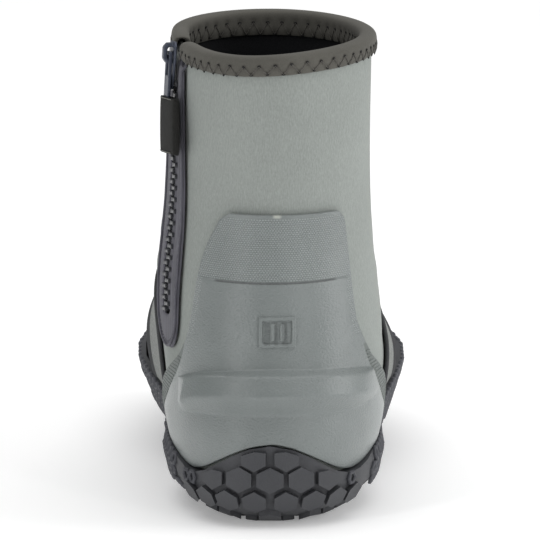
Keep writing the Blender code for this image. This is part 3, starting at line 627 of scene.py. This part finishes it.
def moulded_finish(name, low, high, relief):
    made = Finish(name)
    across, along, height = (value * (1.0 / MM) for value in made.part(made.place()))
    arc = across.math("ARCTAN2", across, HEEL_MIDDLE_Y - along) * HEEL_RADIUS
    # Mask of the groove's line, where painted shade with a little dirt goes.
    groove = height.beyond(GROOVE_Z - 0.25, 0.35) * (1.0 - height.beyond(GROOVE_Z + 0.55, 0.5))
    groove = groove * (1.0 - (arc - GROOVE_ARC).abs().beyond(GROOVE_HALF, 3.0))
    below = height - WING_TOP
    ahead = along - WING_BEND * (below * below)
    wing = ahead.beyond(WING_REAR + 0.4, 0.8) * (1.0 - below.beyond(0.0, 1.0))
    grain = made.noise(1.0, 2.0, made.stretched((1000, 1000, 1400)))
    cloud = made.noise(38.0, 2.0)
    body = made.mix(cloud * 0.8 + 0.2 * grain, low, high)
    body = made.mix(0.6 * wing, body, paint(88, 95, 90))
    # The frame's floor is painted dark as painted shade.
    from_rib = ((arc - FRAME_ARC).abs() - FRAME_RIB).abs()
    painted_recess_shade = (1.0 - (arc - FRAME_ARC).abs().beyond(FRAME_HALF, 0.5)) * from_rib.beyond(0.95, 0.4)
    painted_recess_shade = painted_recess_shade * (1.0 - (height - FRAME_Z).abs().beyond(FRAME_HALF - 0.6, 0.5))
    body = made.mix(0.4 * painted_recess_shade, body, paint(70, 75, 75))
    rubbed = 1.0 - (arc - SCUFF_ARC).abs().beyond(SCUFF_HALF, 1.6)
    scuff = rubbed * height.beyond(scuff_top - 0.9, 0.8)
    body = made.mix(0.55 * scuff, body, paint(205, 207, 196))
    # The groove's line is painted dark: painted shade, with a little dirt.
    made.set(Base_Color=made.mix(0.75 * groove, body, paint(52, 55, 55)))
    made.set(Roughness=0.23 + 0.16 * grain + 0.25 * wing, Specular_IOR_Level=0.62)
    return made.bump(grain * (1.0 - 0.7 * wing), relief)


moulded = moulded_finish("grey_moulded", paint(109, 115, 114), paint(131, 137, 136), 0.28)
# The knurl's lighter copy of the plastic is a painted highlight on its points.
knurl_highlight_plastic = moulded_finish("knurl_painted_highlight", paint(138, 144, 143), paint(158, 164, 163), 0.05)
counter.data.materials.append(moulded.material)
wing_ribs.data.materials.append(moulded.material)
knurl.data.materials.append(knurl_highlight_plastic.material)

# %% [markdown]
# ## Rubber sole
#
# The top of each lug underfoot is a six-sided face of the solid. Such faces are found by their
# corners, their size and the way they face. They are pushed in a little and inset back out, which
# gives each lug a mould's chamfer.

# %% Chamfer the lugs
LUG_SMALLEST, LUG_LARGEST, LUG_DROP, LUG_CHAMFER = 45.0, 95.0, 0.35, 0.55
outsole = copy_node("outsole", "rubber_outsole", quads=False)
bpy.ops.object.mode_set(mode="EDIT")
bpy.ops.mesh.select_all(action="SELECT")
bpy.ops.mesh.dissolve_limited(angle_limit=math.radians(4.0))
bpy.ops.mesh.select_all(action="DESELECT")
bpy.ops.object.mode_set(mode="OBJECT")
six_sided = [f for f in outsole.data.polygons if len(f.vertices) == 6 and f.normal.z < 0.0]
lug_tops = [f for f in six_sided if LUG_SMALLEST < f.area / MM ** 2 < LUG_LARGEST]
for face in lug_tops:
    face.select = True
print("lug tops:", len(lug_tops))
bpy.ops.object.mode_set(mode="EDIT")
bpy.ops.mesh.select_mode(type="FACE")
bpy.ops.transform.shrink_fatten(value=-LUG_DROP * MM)
bpy.ops.mesh.inset(thickness=LUG_CHAMFER * MM, depth=LUG_DROP * MM, use_individual=True)
bpy.ops.mesh.select_mode(type="VERT")
bpy.ops.object.mode_set(mode="OBJECT")
bpy.ops.object.shade_smooth_by_angle(angle=math.radians(28))
finish_piece(outsole, "boot", "outsole_rubber", "outsole")

# %% [markdown]
# ## Raised rings on the side of the sole
#
# From the corners of the heel to the toe, the rubber carries rows of small six-sided rings. One ring
# is modelled and stood on the wall at each crossing of a grid, unless a lug is close by. The rows
# hang from the wall's upper edge, which rises towards the toe, so the top row makes that edge lumpy.

# %% Walk round the sole
HEEL_Y, TOE_Y, HEEL_TURN = -112.0, 84.0, 120.0
TOE_MIDDLE, HEEL_MIDDLE = Vector((-4.0, TOE_Y)) * MM, Vector((0.0, HEEL_Y)) * MM
EDGE_TOP, EDGE_FOOT, EDGE_GUESS, EDGE_STEP = 56.0, 14.0, 16.0, 0.5
WALL_FOOT, WALL_LEAN, HEEL_SIDE_Y = 6.0, 0.75, -106.0
LUG_STEP_LOW, LUG_STEP_HIGH = 1.2, 3.2
LUG_LOOKS = ((3, 0), (-3, 0), (5, 0), (-5, 0), (7, 0), (-7, 0), (0, 3.4), (0, -3.4))


def fan(middle, turns):
    """Places round a middle and the way in from each; 0 is ahead and 90 the right side."""
    ways = [Vector((-math.sin(math.radians(turn)), -math.cos(math.radians(turn)))) for turn in turns]
    return [(middle - FAR_OUT * way, way) for way in ways]


def wall_marks():
    """Places outside the sole and the way in from each, heel to toe to heel."""
    inwards = Vector((1.0, 0.0))
    left = [(Vector((-FAR_OUT, y * MM)), inwards) for y in steps(HEEL_Y + 1.0, TOE_Y, 1.0)]
    right = [(Vector((FAR_OUT, y * MM)), -inwards) for y in steps(TOE_Y - 1.0, HEEL_Y, -1.0)]
    toe = fan(TOE_MIDDLE, steps(-90.0, 90.5, 1.0))
    heel_left = fan(HEEL_MIDDLE, steps(-HEEL_TURN, -90.0, 1.5))
    heel_right = fan(HEEL_MIDDLE, steps(90.0, HEEL_TURN, 1.5))
    return heel_left + left + toe + right + heel_right


def edge_height(start, way):
    """Height of the wall's upper edge, felt for from above downwards."""
    for z in steps(EDGE_TOP, EDGE_FOOT, -EDGE_STEP):
        found = feel("outsole", (start.x, start.y, z * MM), (way.x, way.y, 0.0))
        if found and (found[0].xy - start).length < FAR_OUT:
            return z * MM
    return EDGE_GUESS * MM


def wall_walk():
    """Outline points, each with its way in, its distance along and its edge height."""
    walk, travelled, last = [], 0.0, None
    for start, way in wall_marks():
        edge = edge_height(start, way)
        found = feel("outsole", (start.x, start.y, edge - 3.0 * MM), (way.x, way.y, 0.0))
        if found is None:
            continue
        travelled += (found[0] - last).length if last is not None else 0.0
        last = found[0]
        walk.append((travelled, start, way, edge))
    return walk


def lug_near(start, way, found):
    """True at the heel's corners where the wall steps in or out by a lug's height close by."""
    if found[0].y >= HEEL_SIDE_Y * MM:
        return False
    side = Vector((way.y, -way.x))
    for across, up in LUG_LOOKS:
        beside = start + across * MM * side
        other = feel("outsole", (beside.x, beside.y, found[0].z + up * MM), (way.x, way.y, 0.0))
        if other and LUG_STEP_LOW < abs((other[0] - found[0]).xy.dot(way)) / MM < LUG_STEP_HIGH:
            return True
    return False


walk = wall_walk()
print("length of the ringed wall:", round(walk[-1][0] / MM), "mm")

# %% Model one ring and stand the copies
RING_RADIUS, RING_THICK, RING_CUT, RING_LIFT = 2.5, 0.9, -0.6, 0.3
RING_PITCH, RING_ROW, RING_ROWS, RING_DROP = 5.9, 5.1, 8, 2.2
bpy.ops.object.select_all(action="DESELECT")
bpy.ops.mesh.primitive_torus_add(
    major_segments=6, minor_segments=8, major_radius=RING_RADIUS * MM, minor_radius=RING_THICK * MM)
ring = bpy.context.active_object
bpy.ops.object.mode_set(mode="EDIT")
bpy.ops.mesh.select_all(action="SELECT")
bpy.ops.mesh.bisect(
    plane_co=(0, 0, RING_CUT * MM), plane_no=(0, 0, 1), clear_inner=True, use_fill=True)
bpy.ops.object.mode_set(mode="OBJECT")

ring_places = []
for row in range(RING_ROWS):
    at = RING_PITCH * (0.5 + 0.5 * (row % 2)) * MM
    for (here, start, way, edge), (ahead, *_) in zip(walk, walk[1:]):
        if here <= at < ahead:
            at += RING_PITCH * MM
            z = edge - (RING_DROP + RING_ROW * row) * MM
            if z <= WALL_FOOT * MM:
                continue
            found = feel("outsole", (start.x, start.y, z), (way.x, way.y, 0.0))
            if found and abs(found[1].z) < WALL_LEAN and not lug_near(start, way, found):
                side = Vector((way.y, -way.x, 0.0))
                level = Vector((0, 0, 1)).cross(found[1]) + 0.01 * side
                ring_places.append(stand(found[0] + RING_LIFT * MM * found[1], found[1], level))
rings = scatter(ring, ring_places, "sole_rings")
finish_piece(rings, "boot", "outsole_rubber")

# %% [markdown]
# ## Rubber's finish
#
# Black rubber looks grey in soft light: it is a little rough, with fine speckle from the mould and
# a trace of pale dust. Roughness follows the same speckle, so the gloss breaks up. The rings take a
# paler copy of the rubber, a painted highlight, and the wall between them a nearly black copy, painted
# shade.


# %% Dark rubber
def rubber_finish(name, low, high):
    made = Finish(name)
    speckle = made.noise(1400.0, 3.0)
    dust = made.noise(60.0, 4.0)
    made.set(Base_Color=made.mix(0.55 * dust + 0.35 * speckle, low, high))
    made.set(Roughness=0.46 + 0.22 * speckle, Specular_IOR_Level=0.42)
    return made.bump(speckle, 0.12, 0.7)


lug_rubber = rubber_finish("lug_rubber", paint(52, 53, 57), paint(78, 79, 82))
painted_shade_rubber = rubber_finish("painted_shade_rubber", paint(28, 29, 32), paint(44, 45, 48))
painted_highlight_rubber = rubber_finish("painted_highlight_rubber", paint(52, 53, 58), paint(92, 93, 99))
outsole.data.materials.append(lug_rubber.material)
outsole.data.materials.append(painted_shade_rubber.material)
# The ringed wall between the rings is painted nearly black: painted shade.
for face in outsole.data.polygons:
    on_wall = abs(face.normal.z) < WALL_LEAN and face.center.z > WALL_FOOT * MM
    face.material_index = 1 if on_wall and face.center.y > HEEL_SIDE_Y * MM else 0
# The rings take a paler copy of the rubber: a painted highlight.
rings.data.materials.append(painted_highlight_rubber.material)

# %% [markdown]
# ## Collar binding
#
# A strip of soft fabric is folded over the cut edge of the neoprene and sewn down with a zigzag
# stitch, through both sides. Each time the needle goes in, it pulls the fabric down, so the strip
# is dimpled at every hole and puffs up between them. The copy is rounded three times, because a
# dimple is only about 2 mm wide.

# %% Round the binding and mark the stitch holes
binding = copy_node("collar_binding", "collar_binding_strip")
rounded(binding, 3)
COLLAR_MIDDLE = Vector((0.5, -80.0, 0.0)) * MM
STITCH_STEPS, STITCH_LONGEST, STITCH_LIFT, COLLAR_THREAD = 54, 9.0, -0.05, 0.18
Row = namedtuple("Row", "high low wall reach dimple")
OUTSIDE, INSIDE = Row(4.6, 8.2, 1.0, 1.3, 0.55), Row(5.4, 10.4, -1.0, 1.5, 0.6)


def binding_top(way):
    """Height of the strip's top in one direction from the collar's middle."""
    corners = [v.co for v in frame["nodes"]["collar_binding"].data.vertices]
    ahead = [c.z for c in corners if (c.xy - COLLAR_MIDDLE.xy).normalized().dot(way.xy) > 0.985]
    return max(ahead, default=0.196)


def stitch_point(turn, depth, wall):
    """Place on one side of the strip, a depth below its top."""
    way = Vector((math.sin(turn), -math.cos(turn), 0.0))
    z = binding_top(way) - depth * MM
    far = COLLAR_MIDDLE + (0.12 * way if wall > 0 else Vector()) + Vector((0, 0, z))
    return feel("collar_binding", far, -way if wall > 0 else way)


def zigzag(row):
    """Holes of a zigzag, high and low in turn, with a break at the zip."""
    holes = []
    for k in range(2 * STITCH_STEPS):
        turn = 2.0 * math.pi * (k + 0.5) / (2 * STITCH_STEPS)
        holes.append(stitch_point(turn, row.low if k % 2 else row.high, row.wall))
    return holes


outer_holes, inner_holes = zigzag(OUTSIDE), zigzag(INSIDE)
print("stitch holes:", sum(h is not None for h in outer_holes + inner_holes))


# %% Dimple the strip and lay the thread
def press_holes(piece, holes, reach, depth):
    """Dimples in a strip, one at each hole."""
    spots = points_of(piece)
    move = np.zeros_like(spots)
    for found in holes:
        if found is None:
            continue
        gap = np.linalg.norm(spots - np.array(found[0]), axis=1) / MM
        near = gap < 3.0 * reach
        pull = depth * MM * np.exp(-(gap[near] / reach) ** 2)
        move[near] -= pull[:, None] * np.array(found[1])
    piece.data.vertices.foreach_set("co", (spots + move).ravel())
    piece.data.update()


press_holes(binding, outer_holes, OUTSIDE.reach, OUTSIDE.dimple)
press_holes(binding, inner_holes, INSIDE.reach, INSIDE.dimple)
finish_piece(binding, "boot", "binding_fabric", "collar_binding")


def thread_places(holes):
    """A stitch from each hole to the next, all the way round."""
    lift = STITCH_LIFT * MM
    places = []
    for near, far in zip(holes, holes[1:] + holes[:1]):
        if near and far and (far[0] - near[0]).length < STITCH_LONGEST * MM:
            out = (near[1] + far[1]).normalized()
            places.append(between(near[0] + lift * near[1], far[0] + lift * far[1], out))
    return places


zigzags = thread_places(outer_holes) + thread_places(inner_holes)
thread = scatter(thread_pattern(COLLAR_THREAD), zigzags, "collar_zigzag_thread")
finish_piece(thread, "boot", "binding_fabric")

# At each stitch hole a small dark dot is sunk into the strip: painted shade of the needle hole.
HOLE_RADIUS, HOLE_SINK = 0.6, 0.28
bpy.ops.object.select_all(action="DESELECT")
bpy.ops.mesh.primitive_uv_sphere_add(segments=10, ring_count=6, radius=HOLE_RADIUS * MM)
hole = bpy.context.active_object
bpy.ops.object.mode_set(mode="EDIT")
bpy.ops.mesh.select_all(action="SELECT")
bpy.ops.transform.resize(value=(1.0, 1.25, 0.4))
bpy.ops.object.mode_set(mode="OBJECT")
holes = [found for found in outer_holes + inner_holes if found]
hole_places = [stand(at - HOLE_SINK * MM * out, out, (0.01, 0.0, 1.0)) for at, out in holes]
painted_hole_shade = scatter(hole, hole_places, "collar_needle_hole_shade")
finish_piece(painted_hole_shade, "boot", "binding_fabric")

# %% Soft taupe fabric
taupe = Finish("taupe_binding")
weave = taupe.noise(1.0, 2.0, taupe.stretched((2100, 2100, 2100)))
wear = taupe.noise(55.0, 3.0)
taupe.set(Base_Color=taupe.mix(0.55 * weave + 0.45 * wear, paint(72, 71, 66), paint(102, 100, 94)))
taupe.set(Roughness=0.9, Sheen_Weight=0.06, Sheen_Roughness=0.4, Specular_IOR_Level=0.25)
taupe.bump(weave, 0.14, 0.6)
binding.data.materials.append(taupe.material)

dark_thread = Finish("dark_thread")
twist = dark_thread.noise(2400.0, 1.0)
dark_thread.set(Base_Color=dark_thread.mix(twist, paint(72, 70, 66), paint(96, 93, 88)), Roughness=0.8)
thread.data.materials.append(dark_thread.material)

shade = Finish("needle_hole_shade")
shade.set(Base_Color=shade.mix(shade.noise(900.0), paint(20, 20, 20), paint(34, 33, 32)), Roughness=1.0)
painted_hole_shade.data.materials.append(shade.material)

# %% [markdown]
# ## Zip tape
#
# The zip is sewn in between two strips of woven tape that meet in a rounded tongue at its foot. A
# thin cord is stitched round the tongue's edge. It is laid as the ribs were: a curve through points
# felt for on the tape, given a round section and turned into a mesh. A row of short stitches follows
# it a little farther in.

# %% Round the tape and pipe its edge
tape = copy_node("zip_tape", "zip_tape_cloth")
rounded(tape, 2)
finish_piece(tape, "boot", "zip_tape_cloth", "zip_tape")

ZIP_FOOT, ZIP_TOP = Vector((-98.0, 59.0)), Vector((-86.0, 195.0))
TONGUE_Z, TONGUE_DROP, TAPE_HALF, TAPE_TOP, TAPE_STEP = 81.0, 13.6, 13.0, 186.0, 3.0
PIPING_INSET, PIPING_RADIUS, PIPING_LIFT = 0.7, 0.62, 0.15
SEAM_INSET, SEAM_LONGEST, FINE_THREAD = 2.3, 6.0, 0.2


def zip_middle(z):
    """The zip's own line up the inner side, by height, in millimetres."""
    return ZIP_FOOT.x + (ZIP_TOP.x - ZIP_FOOT.x) * (z - ZIP_FOOT.y) / (ZIP_TOP.y - ZIP_FOOT.y)


def beside_zip(z, across, nodes=("zip_tape", "upper")):
    """Point and outward direction beside the zip, felt for from the inner side."""
    for node in nodes:
        found = feel(node, (-FAR_OUT, (zip_middle(z) + across) * MM, z * MM), (1.0, 0.0, 0.0))
        if found and found[0].x < -0.02:
            return found
    return None


def tongue_edge(inset):
    """Marks down the rear edge of the tape, round its tongue and up the front edge."""
    half = TAPE_HALF - inset
    marks = [(z, -half) for z in steps(TAPE_TOP, TONGUE_Z, -TAPE_STEP)]
    for turn in range(0, 181, 9):
        lean = math.radians(turn)
        marks.append((TONGUE_Z - (TONGUE_DROP - inset) * math.sin(lean), -half * math.cos(lean)))
    marks += [(z, half) for z in steps(TONGUE_Z + TAPE_STEP, TAPE_TOP + 1.0, TAPE_STEP)]
    return [found for found in (beside_zip(z, across) for z, across in marks) if found]


piping = tube(tongue_edge(PIPING_INSET), PIPING_RADIUS, "zip_tape_piping", PIPING_LIFT)
finish_piece(piping, "boot", "zip_tape_cloth")
edge_marks = tongue_edge(SEAM_INSET)
dashes = []
for near, far in zip(edge_marks, edge_marks[1:]):
    gap = far[0] - near[0]
    if gap.length < SEAM_LONGEST * MM:
        dashes.append(between(near[0] + 0.15 * gap, near[0] + 0.85 * gap, near[1]))
tape_thread = scatter(thread_pattern(FINE_THREAD), dashes, "zip_tape_thread")
finish_piece(tape_thread, "boot", "zip_tape_cloth")

# %% [markdown]
# ## Zip teeth
#
# This is a coarse moulded zip. One tooth is modelled: a block with a narrow neck at the tape and a
# round head that hooks between two teeth of the other row. Copies go up both sides in turn. Behind
# them a copy of the chain's solid, sunk and widened, serves as the edges of the tape, so that no
# light shows between the teeth.

# %% Model a tooth and fill both rows
TOOTH_PITCH, TOOTH_LENGTH, TOOTH_WIDTH, TOOTH_HEIGHT = 4.8, 5.0, 2.15, 2.7
NECK_REAR, NECK_FRONT, NECK_WIDTH, NECK_HEIGHT = -1.2, 0.6, 0.72, 0.86
TOOTH_COUNT, TOOTH_FOOT, TOOTH_SINK, TOOTH_REACH = 40, 83.0, 1.15, 1.9
CORE_SINK, CORE_WIDER = 1.2, 1.3
bpy.ops.object.select_all(action="DESELECT")
bpy.ops.mesh.primitive_cube_add(size=1.0)
tooth = bpy.context.active_object
bpy.ops.transform.resize(value=(TOOTH_LENGTH * MM, TOOTH_WIDTH * MM, TOOTH_HEIGHT * MM))
bpy.ops.object.transform_apply(scale=True)
bpy.ops.object.mode_set(mode="EDIT")
for cut in (NECK_FRONT, NECK_REAR):
    bpy.ops.mesh.select_all(action="SELECT")
    bpy.ops.mesh.bisect(plane_co=(cut * MM, 0, 0), plane_no=(1, 0, 0))
bpy.ops.object.mode_set(mode="OBJECT")
for vertex in tooth.data.vertices:
    if NECK_REAR - 0.3 < vertex.co.x / MM < NECK_FRONT + 0.3:
        vertex.co.y *= NECK_WIDTH
        vertex.co.z *= NECK_HEIGHT
bevel_sharp(tooth, 0.28, 40.0, 2)

tooth_places = []
for k in range(TOOTH_COUNT):
    z = TOOTH_FOOT + TOOTH_PITCH / 2.0 * k
    side = 1.0 if k % 2 else -1.0
    found = beside_zip(z, 0.0, ("zip_chain",))
    above = beside_zip(z + 3.0, 0.0, ("zip_chain",))
    if found and above:
        up = (above[0] - found[0]).normalized()
        reach = up.cross(found[1]) * side
        at = found[0] - TOOTH_SINK * MM * found[1] + TOOTH_REACH * MM * reach
        tooth_places.append(stand(at, found[1], -reach))
teeth = scatter(tooth, tooth_places, "zip_teeth")

core = copy_node("zip_chain", "zip_tape_edges")
for vertex in core.data.vertices:
    across = vertex.co.y - zip_middle(vertex.co.z / MM) * MM
    vertex.co += Vector((CORE_SINK * MM, math.copysign(CORE_WIDER * MM, across), 0.0))
rounded(core, 1)
finish_piece(core, "boot", "zip_tape_cloth")
finish_piece(teeth, "boot", "zip_teeth", "zip_chain")

# %% Tape cloth and tooth plastic
tape_cloth = Finish("violet_grey_tape")
streak = tape_cloth.noise(1.0, 3.0, tape_cloth.stretched((900, 900, 26)))
yarn = tape_cloth.noise(1.0, 1.0, tape_cloth.stretched((1500, 1500, 1500)))
violet = tape_cloth.mix(streak.beyond(0.5, 0.5), paint(60, 60, 67), paint(100, 99, 108))
tape_cloth.set(Base_Color=violet, Roughness=0.7 + 0.2 * yarn)
tape_cloth.set(Sheen_Weight=0.15, Specular_IOR_Level=0.35)
tape_cloth.bump(streak + 0.7 * yarn, 0.2, 0.6)
for piece in (tape, piping, core, tape_thread):
    piece.data.materials.append(tape_cloth.material)

tooth_plastic = Finish("black_tooth_plastic")
scuff = tooth_plastic.noise(1100.0, 2.0)
tooth_plastic.set(Base_Color=tooth_plastic.mix(scuff, paint(34, 35, 38), paint(66, 68, 72)))
tooth_plastic.set(Roughness=0.28 + 0.2 * scuff, Coat_Weight=0.15)
teeth.data.materials.append(tooth_plastic.material)

# %% [markdown]
# ## Slider, link and cloth pull
#
# The slider is a painted casting with a bridge, and the link hangs from it. They keep their solids'
# shapes with softened edges. A cloth sleeve is sewn round the link, and a row of pale thread runs
# along its upper edge and its lower one. Link and sleeve ride on the body that swings.


# %% Soften the hard pieces and the sleeve
def softened(node, name, width):
    """Copy of a hard piece: flat faces made whole again, and every edge bevelled."""
    piece = copy_node(node, name, quads=False)
    bpy.ops.object.mode_set(mode="EDIT")
    bpy.ops.mesh.select_all(action="SELECT")
    bpy.ops.mesh.dissolve_limited(angle_limit=math.radians(2.0))
    bpy.ops.object.mode_set(mode="OBJECT")
    edges = {"limit_method": "ANGLE", "use_clamp_overlap": False}
    apply_modifier(piece, "BEVEL", width=width * MM, segments=3, **edges)
    bpy.ops.object.shade_smooth_by_angle(angle=math.radians(45))
    return piece


slider = softened("zip_slider", "zip_slider_casting", 0.45)
finish_piece(slider, "boot", "slider_metal", "zip_slider")
link = softened("zip_pull", "zip_pull_link", 0.4)
finish_piece(link, "pull", "pull_metal", "zip_pull")

sleeve = copy_node("pull_webbing", "pull_cloth_sleeve")
rounded(sleeve, 2)
finish_piece(sleeve, "pull", "pull_cloth", "pull_webbing")

# %% Sew the sleeve
hinge = frame["joints"][0]
pivot, across_zip = Vector(hinge["pos_m"]), -Vector(hinge["axis"]).normalized()
chain_high = beside_zip(190.0, 0.0, ("zip_chain",))[0]
chain_low = beside_zip(176.0, 0.0, ("zip_chain",))[0]
zip_up = (chain_high - chain_low).normalized()
zip_out = across_zip.cross(zip_up).normalized()
if zip_out.x > 0.0:
    zip_out = -zip_out


def on_sleeve(down, across):
    """Point and outward direction of the sleeve, below the pivot and across the zip."""
    start = pivot - down * MM * zip_up + across * MM * across_zip + 0.05 * zip_out
    return feel("pull_webbing", start, -zip_out)


SEAM_DOWNS, SEAM_LEFT, SEAM_RIGHT, SEAM_STEP = (18.6, 40.4), -9.0, 22.0, 1.9
seams = []
for down in SEAM_DOWNS:
    marks = [on_sleeve(down, across) for across in steps(SEAM_LEFT, SEAM_RIGHT, SEAM_STEP)]
    for before, near, far, after in zip(marks, marks[1:], marks[2:], marks[3:]):
        if before and near and far and after and near[1].dot(zip_out) > 0.7:
            gap = far[0] - near[0]
            seams.append(between(near[0] + 0.12 * gap, near[0] + 0.88 * gap, near[1]))
sleeve_thread = scatter(thread_pattern(FINE_THREAD), seams, "pull_sleeve_thread")
finish_piece(sleeve_thread, "pull", "pull_cloth")

# %% Slate paint, black cloth and pale thread
slate = Finish("slate_paint")
chips = slate.noise(700.0, 3.0)
slate.set(Base_Color=slate.mix(chips, paint(52, 57, 70), paint(78, 84, 98)))
slate.set(Roughness=0.34 + 0.2 * chips, Metallic=0.35, Coat_Weight=0.1)
slider.data.materials.append(slate.material)
link.data.materials.append(slate.material)

CLOTH_PITCH = 0.7
turns = 2.0 * math.pi / (CLOTH_PITCH * MM)
black_cloth = Finish("black_woven_cloth")
_, cloth_y, cloth_z = black_cloth.part(black_cloth.place())
warp = (cloth_y * turns).sin() * (cloth_z * turns).sin()
lint = black_cloth.noise(500.0, 3.0)
black_cloth.set(Base_Color=black_cloth.mix(lint, paint(26, 26, 25), paint(44, 44, 42)), Roughness=0.88)
black_cloth.set(Sheen_Weight=0.03, Specular_IOR_Level=0.2)
black_cloth.bump(warp * 0.5 + lint, 0.12, 0.6)
sleeve.data.materials.append(black_cloth.material)

pale_thread = Finish("pale_thread")
strands = pale_thread.noise(2400.0)
pale_thread.set(Base_Color=pale_thread.mix(strands, paint(92, 92, 88), paint(130, 130, 124)))
pale_thread.set(Roughness=0.8)
sleeve_thread.data.materials.append(pale_thread.material)

# %% [markdown]
# ## Instep saddle and insole
#
# A band of grey cloth crosses the instep, with a dark binding along both edges. The binding is the
# raised step at each side of the solid. Its faces are much narrower than the band's, so they are
# found by their area, before rounding. The insole is a plain plate of foam with a black cloth top.

# %% Round the saddle and bind its edges
EDGE_FACE_AREA = 45.0
saddle = copy_node("instep_saddle", "instep_saddle_band")
band = Finish("grey_band_cloth")
band_grain = band.noise(1.0, 2.0, band.stretched((1900, 1900, 900)))
band.set(Base_Color=band.mix(band_grain.beyond(0.5, 0.5), paint(88, 91, 89), paint(148, 151, 147)))
band.set(Roughness=0.9, Sheen_Weight=0.15, Specular_IOR_Level=0.25)
band.bump(band_grain, 0.14, 0.6)
edging = Finish("dark_edge_binding")
edge_grain = edging.noise(1500.0, 2.0)
edging.set(Base_Color=edging.mix(edge_grain, paint(40, 41, 43), paint(66, 67, 69)), Roughness=0.85)
edging.bump(edge_grain, 0.14, 0.6)
saddle.data.materials.append(band.material)
saddle.data.materials.append(edging.material)
for face in saddle.data.polygons:
    face.material_index = 1 if face.area / MM ** 2 < EDGE_FACE_AREA else 0
rounded(saddle, 2)
finish_piece(saddle, "boot", "saddle_overlay", "instep_saddle")

# %% Insole
insole = copy_node("insole", "insole_plate")
bevel_sharp(insole, 0.8, 50.0, 3)
bpy.ops.object.shade_smooth_by_angle(angle=math.radians(40))
finish_piece(insole, "boot", "insole_foam", "insole")
insole.data.materials.append(plush.material)

# %% [markdown]
# ## Floor, light and camera
#
# The picture was taken in soft studio light on a white ground: one large light overhead, a broad one
# to the right, and a narrow upright strip on either side of the camera. The strips draw the upright
# gleams on the plastic. The camera stands behind the heel, ten degrees up, with a long lens, so that
# the far rim of the collar shows over the near one.

# %% Floor and light
bpy.ops.object.select_all(action="DESELECT")
bpy.ops.mesh.primitive_plane_add(size=14.0)
floor = bpy.context.active_object
floor.name = "floor"
ground = Finish("white_ground")
ground.set(Base_Color=(0.94, 0.94, 0.94, 1.0), Roughness=0.9, Specular_IOR_Level=0.1)
ground.set(Emission_Color=(1.0, 1.0, 1.0, 1.0), Emission_Strength=0.22)
floor.data.materials.append(ground.material)

world = bpy.data.worlds.new("studio")
world.use_nodes = True
world.node_tree.nodes["Background"].inputs["Color"].default_value = (1.0, 1.0, 1.0, 1.0)
world.node_tree.nodes["Background"].inputs["Strength"].default_value = 0.2
bpy.context.scene.world = world

LIT_POINT = Vector((0.0, -0.05, 0.09))
Light = namedtuple("Light", "name x y z width height power")
LIGHTS = [Light(*row) for row in (
    ("overhead", 0.0, 0.3, 3.0, 5.0, 5.0, 104.0),
    ("broad_right", 2.2, -0.2, 0.8, 1.3, 1.8, 22.0),
    ("strip_right", 1.2, -1.7, 0.7, 0.2, 1.5, 4.5),
    ("strip_left", -1.35, -1.5, 0.7, 0.24, 1.5, 8.0),
)]
for row in LIGHTS:
    lamp = bpy.data.lights.new(row.name, "AREA")
    lamp.shape = "RECTANGLE"
    lamp.size = row.width
    lamp.size_y = row.height
    lamp.energy = row.power
    holder = bpy.data.objects.new(row.name, lamp)
    holder.location = (row.x, row.y, row.z)
    way = LIT_POINT - holder.location
    holder.rotation_euler = way.to_track_quat("-Z", "Y").to_euler()
    bpy.context.collection.objects.link(holder)

# %% Camera
CAMERA_RISE, CAMERA_AWAY = math.radians(10.0), 3.0
CAMERA_AIM = Vector((0.0, -0.088, 0.098))
camera = bpy.data.cameras.new("rear_view")
camera.sensor_width = 36.0
camera.lens = 480.0
eye = bpy.data.objects.new("rear_view", camera)
look = Vector((0.0, math.cos(CAMERA_RISE), -math.sin(CAMERA_RISE)))
eye.location = CAMERA_AIM - CAMERA_AWAY * look
eye.rotation_euler = look.to_track_quat("-Z", "Y").to_euler()
bpy.context.collection.objects.link(eye)
bpy.context.scene.camera = eye
bpy.context.scene.view_settings.view_transform = "Standard"
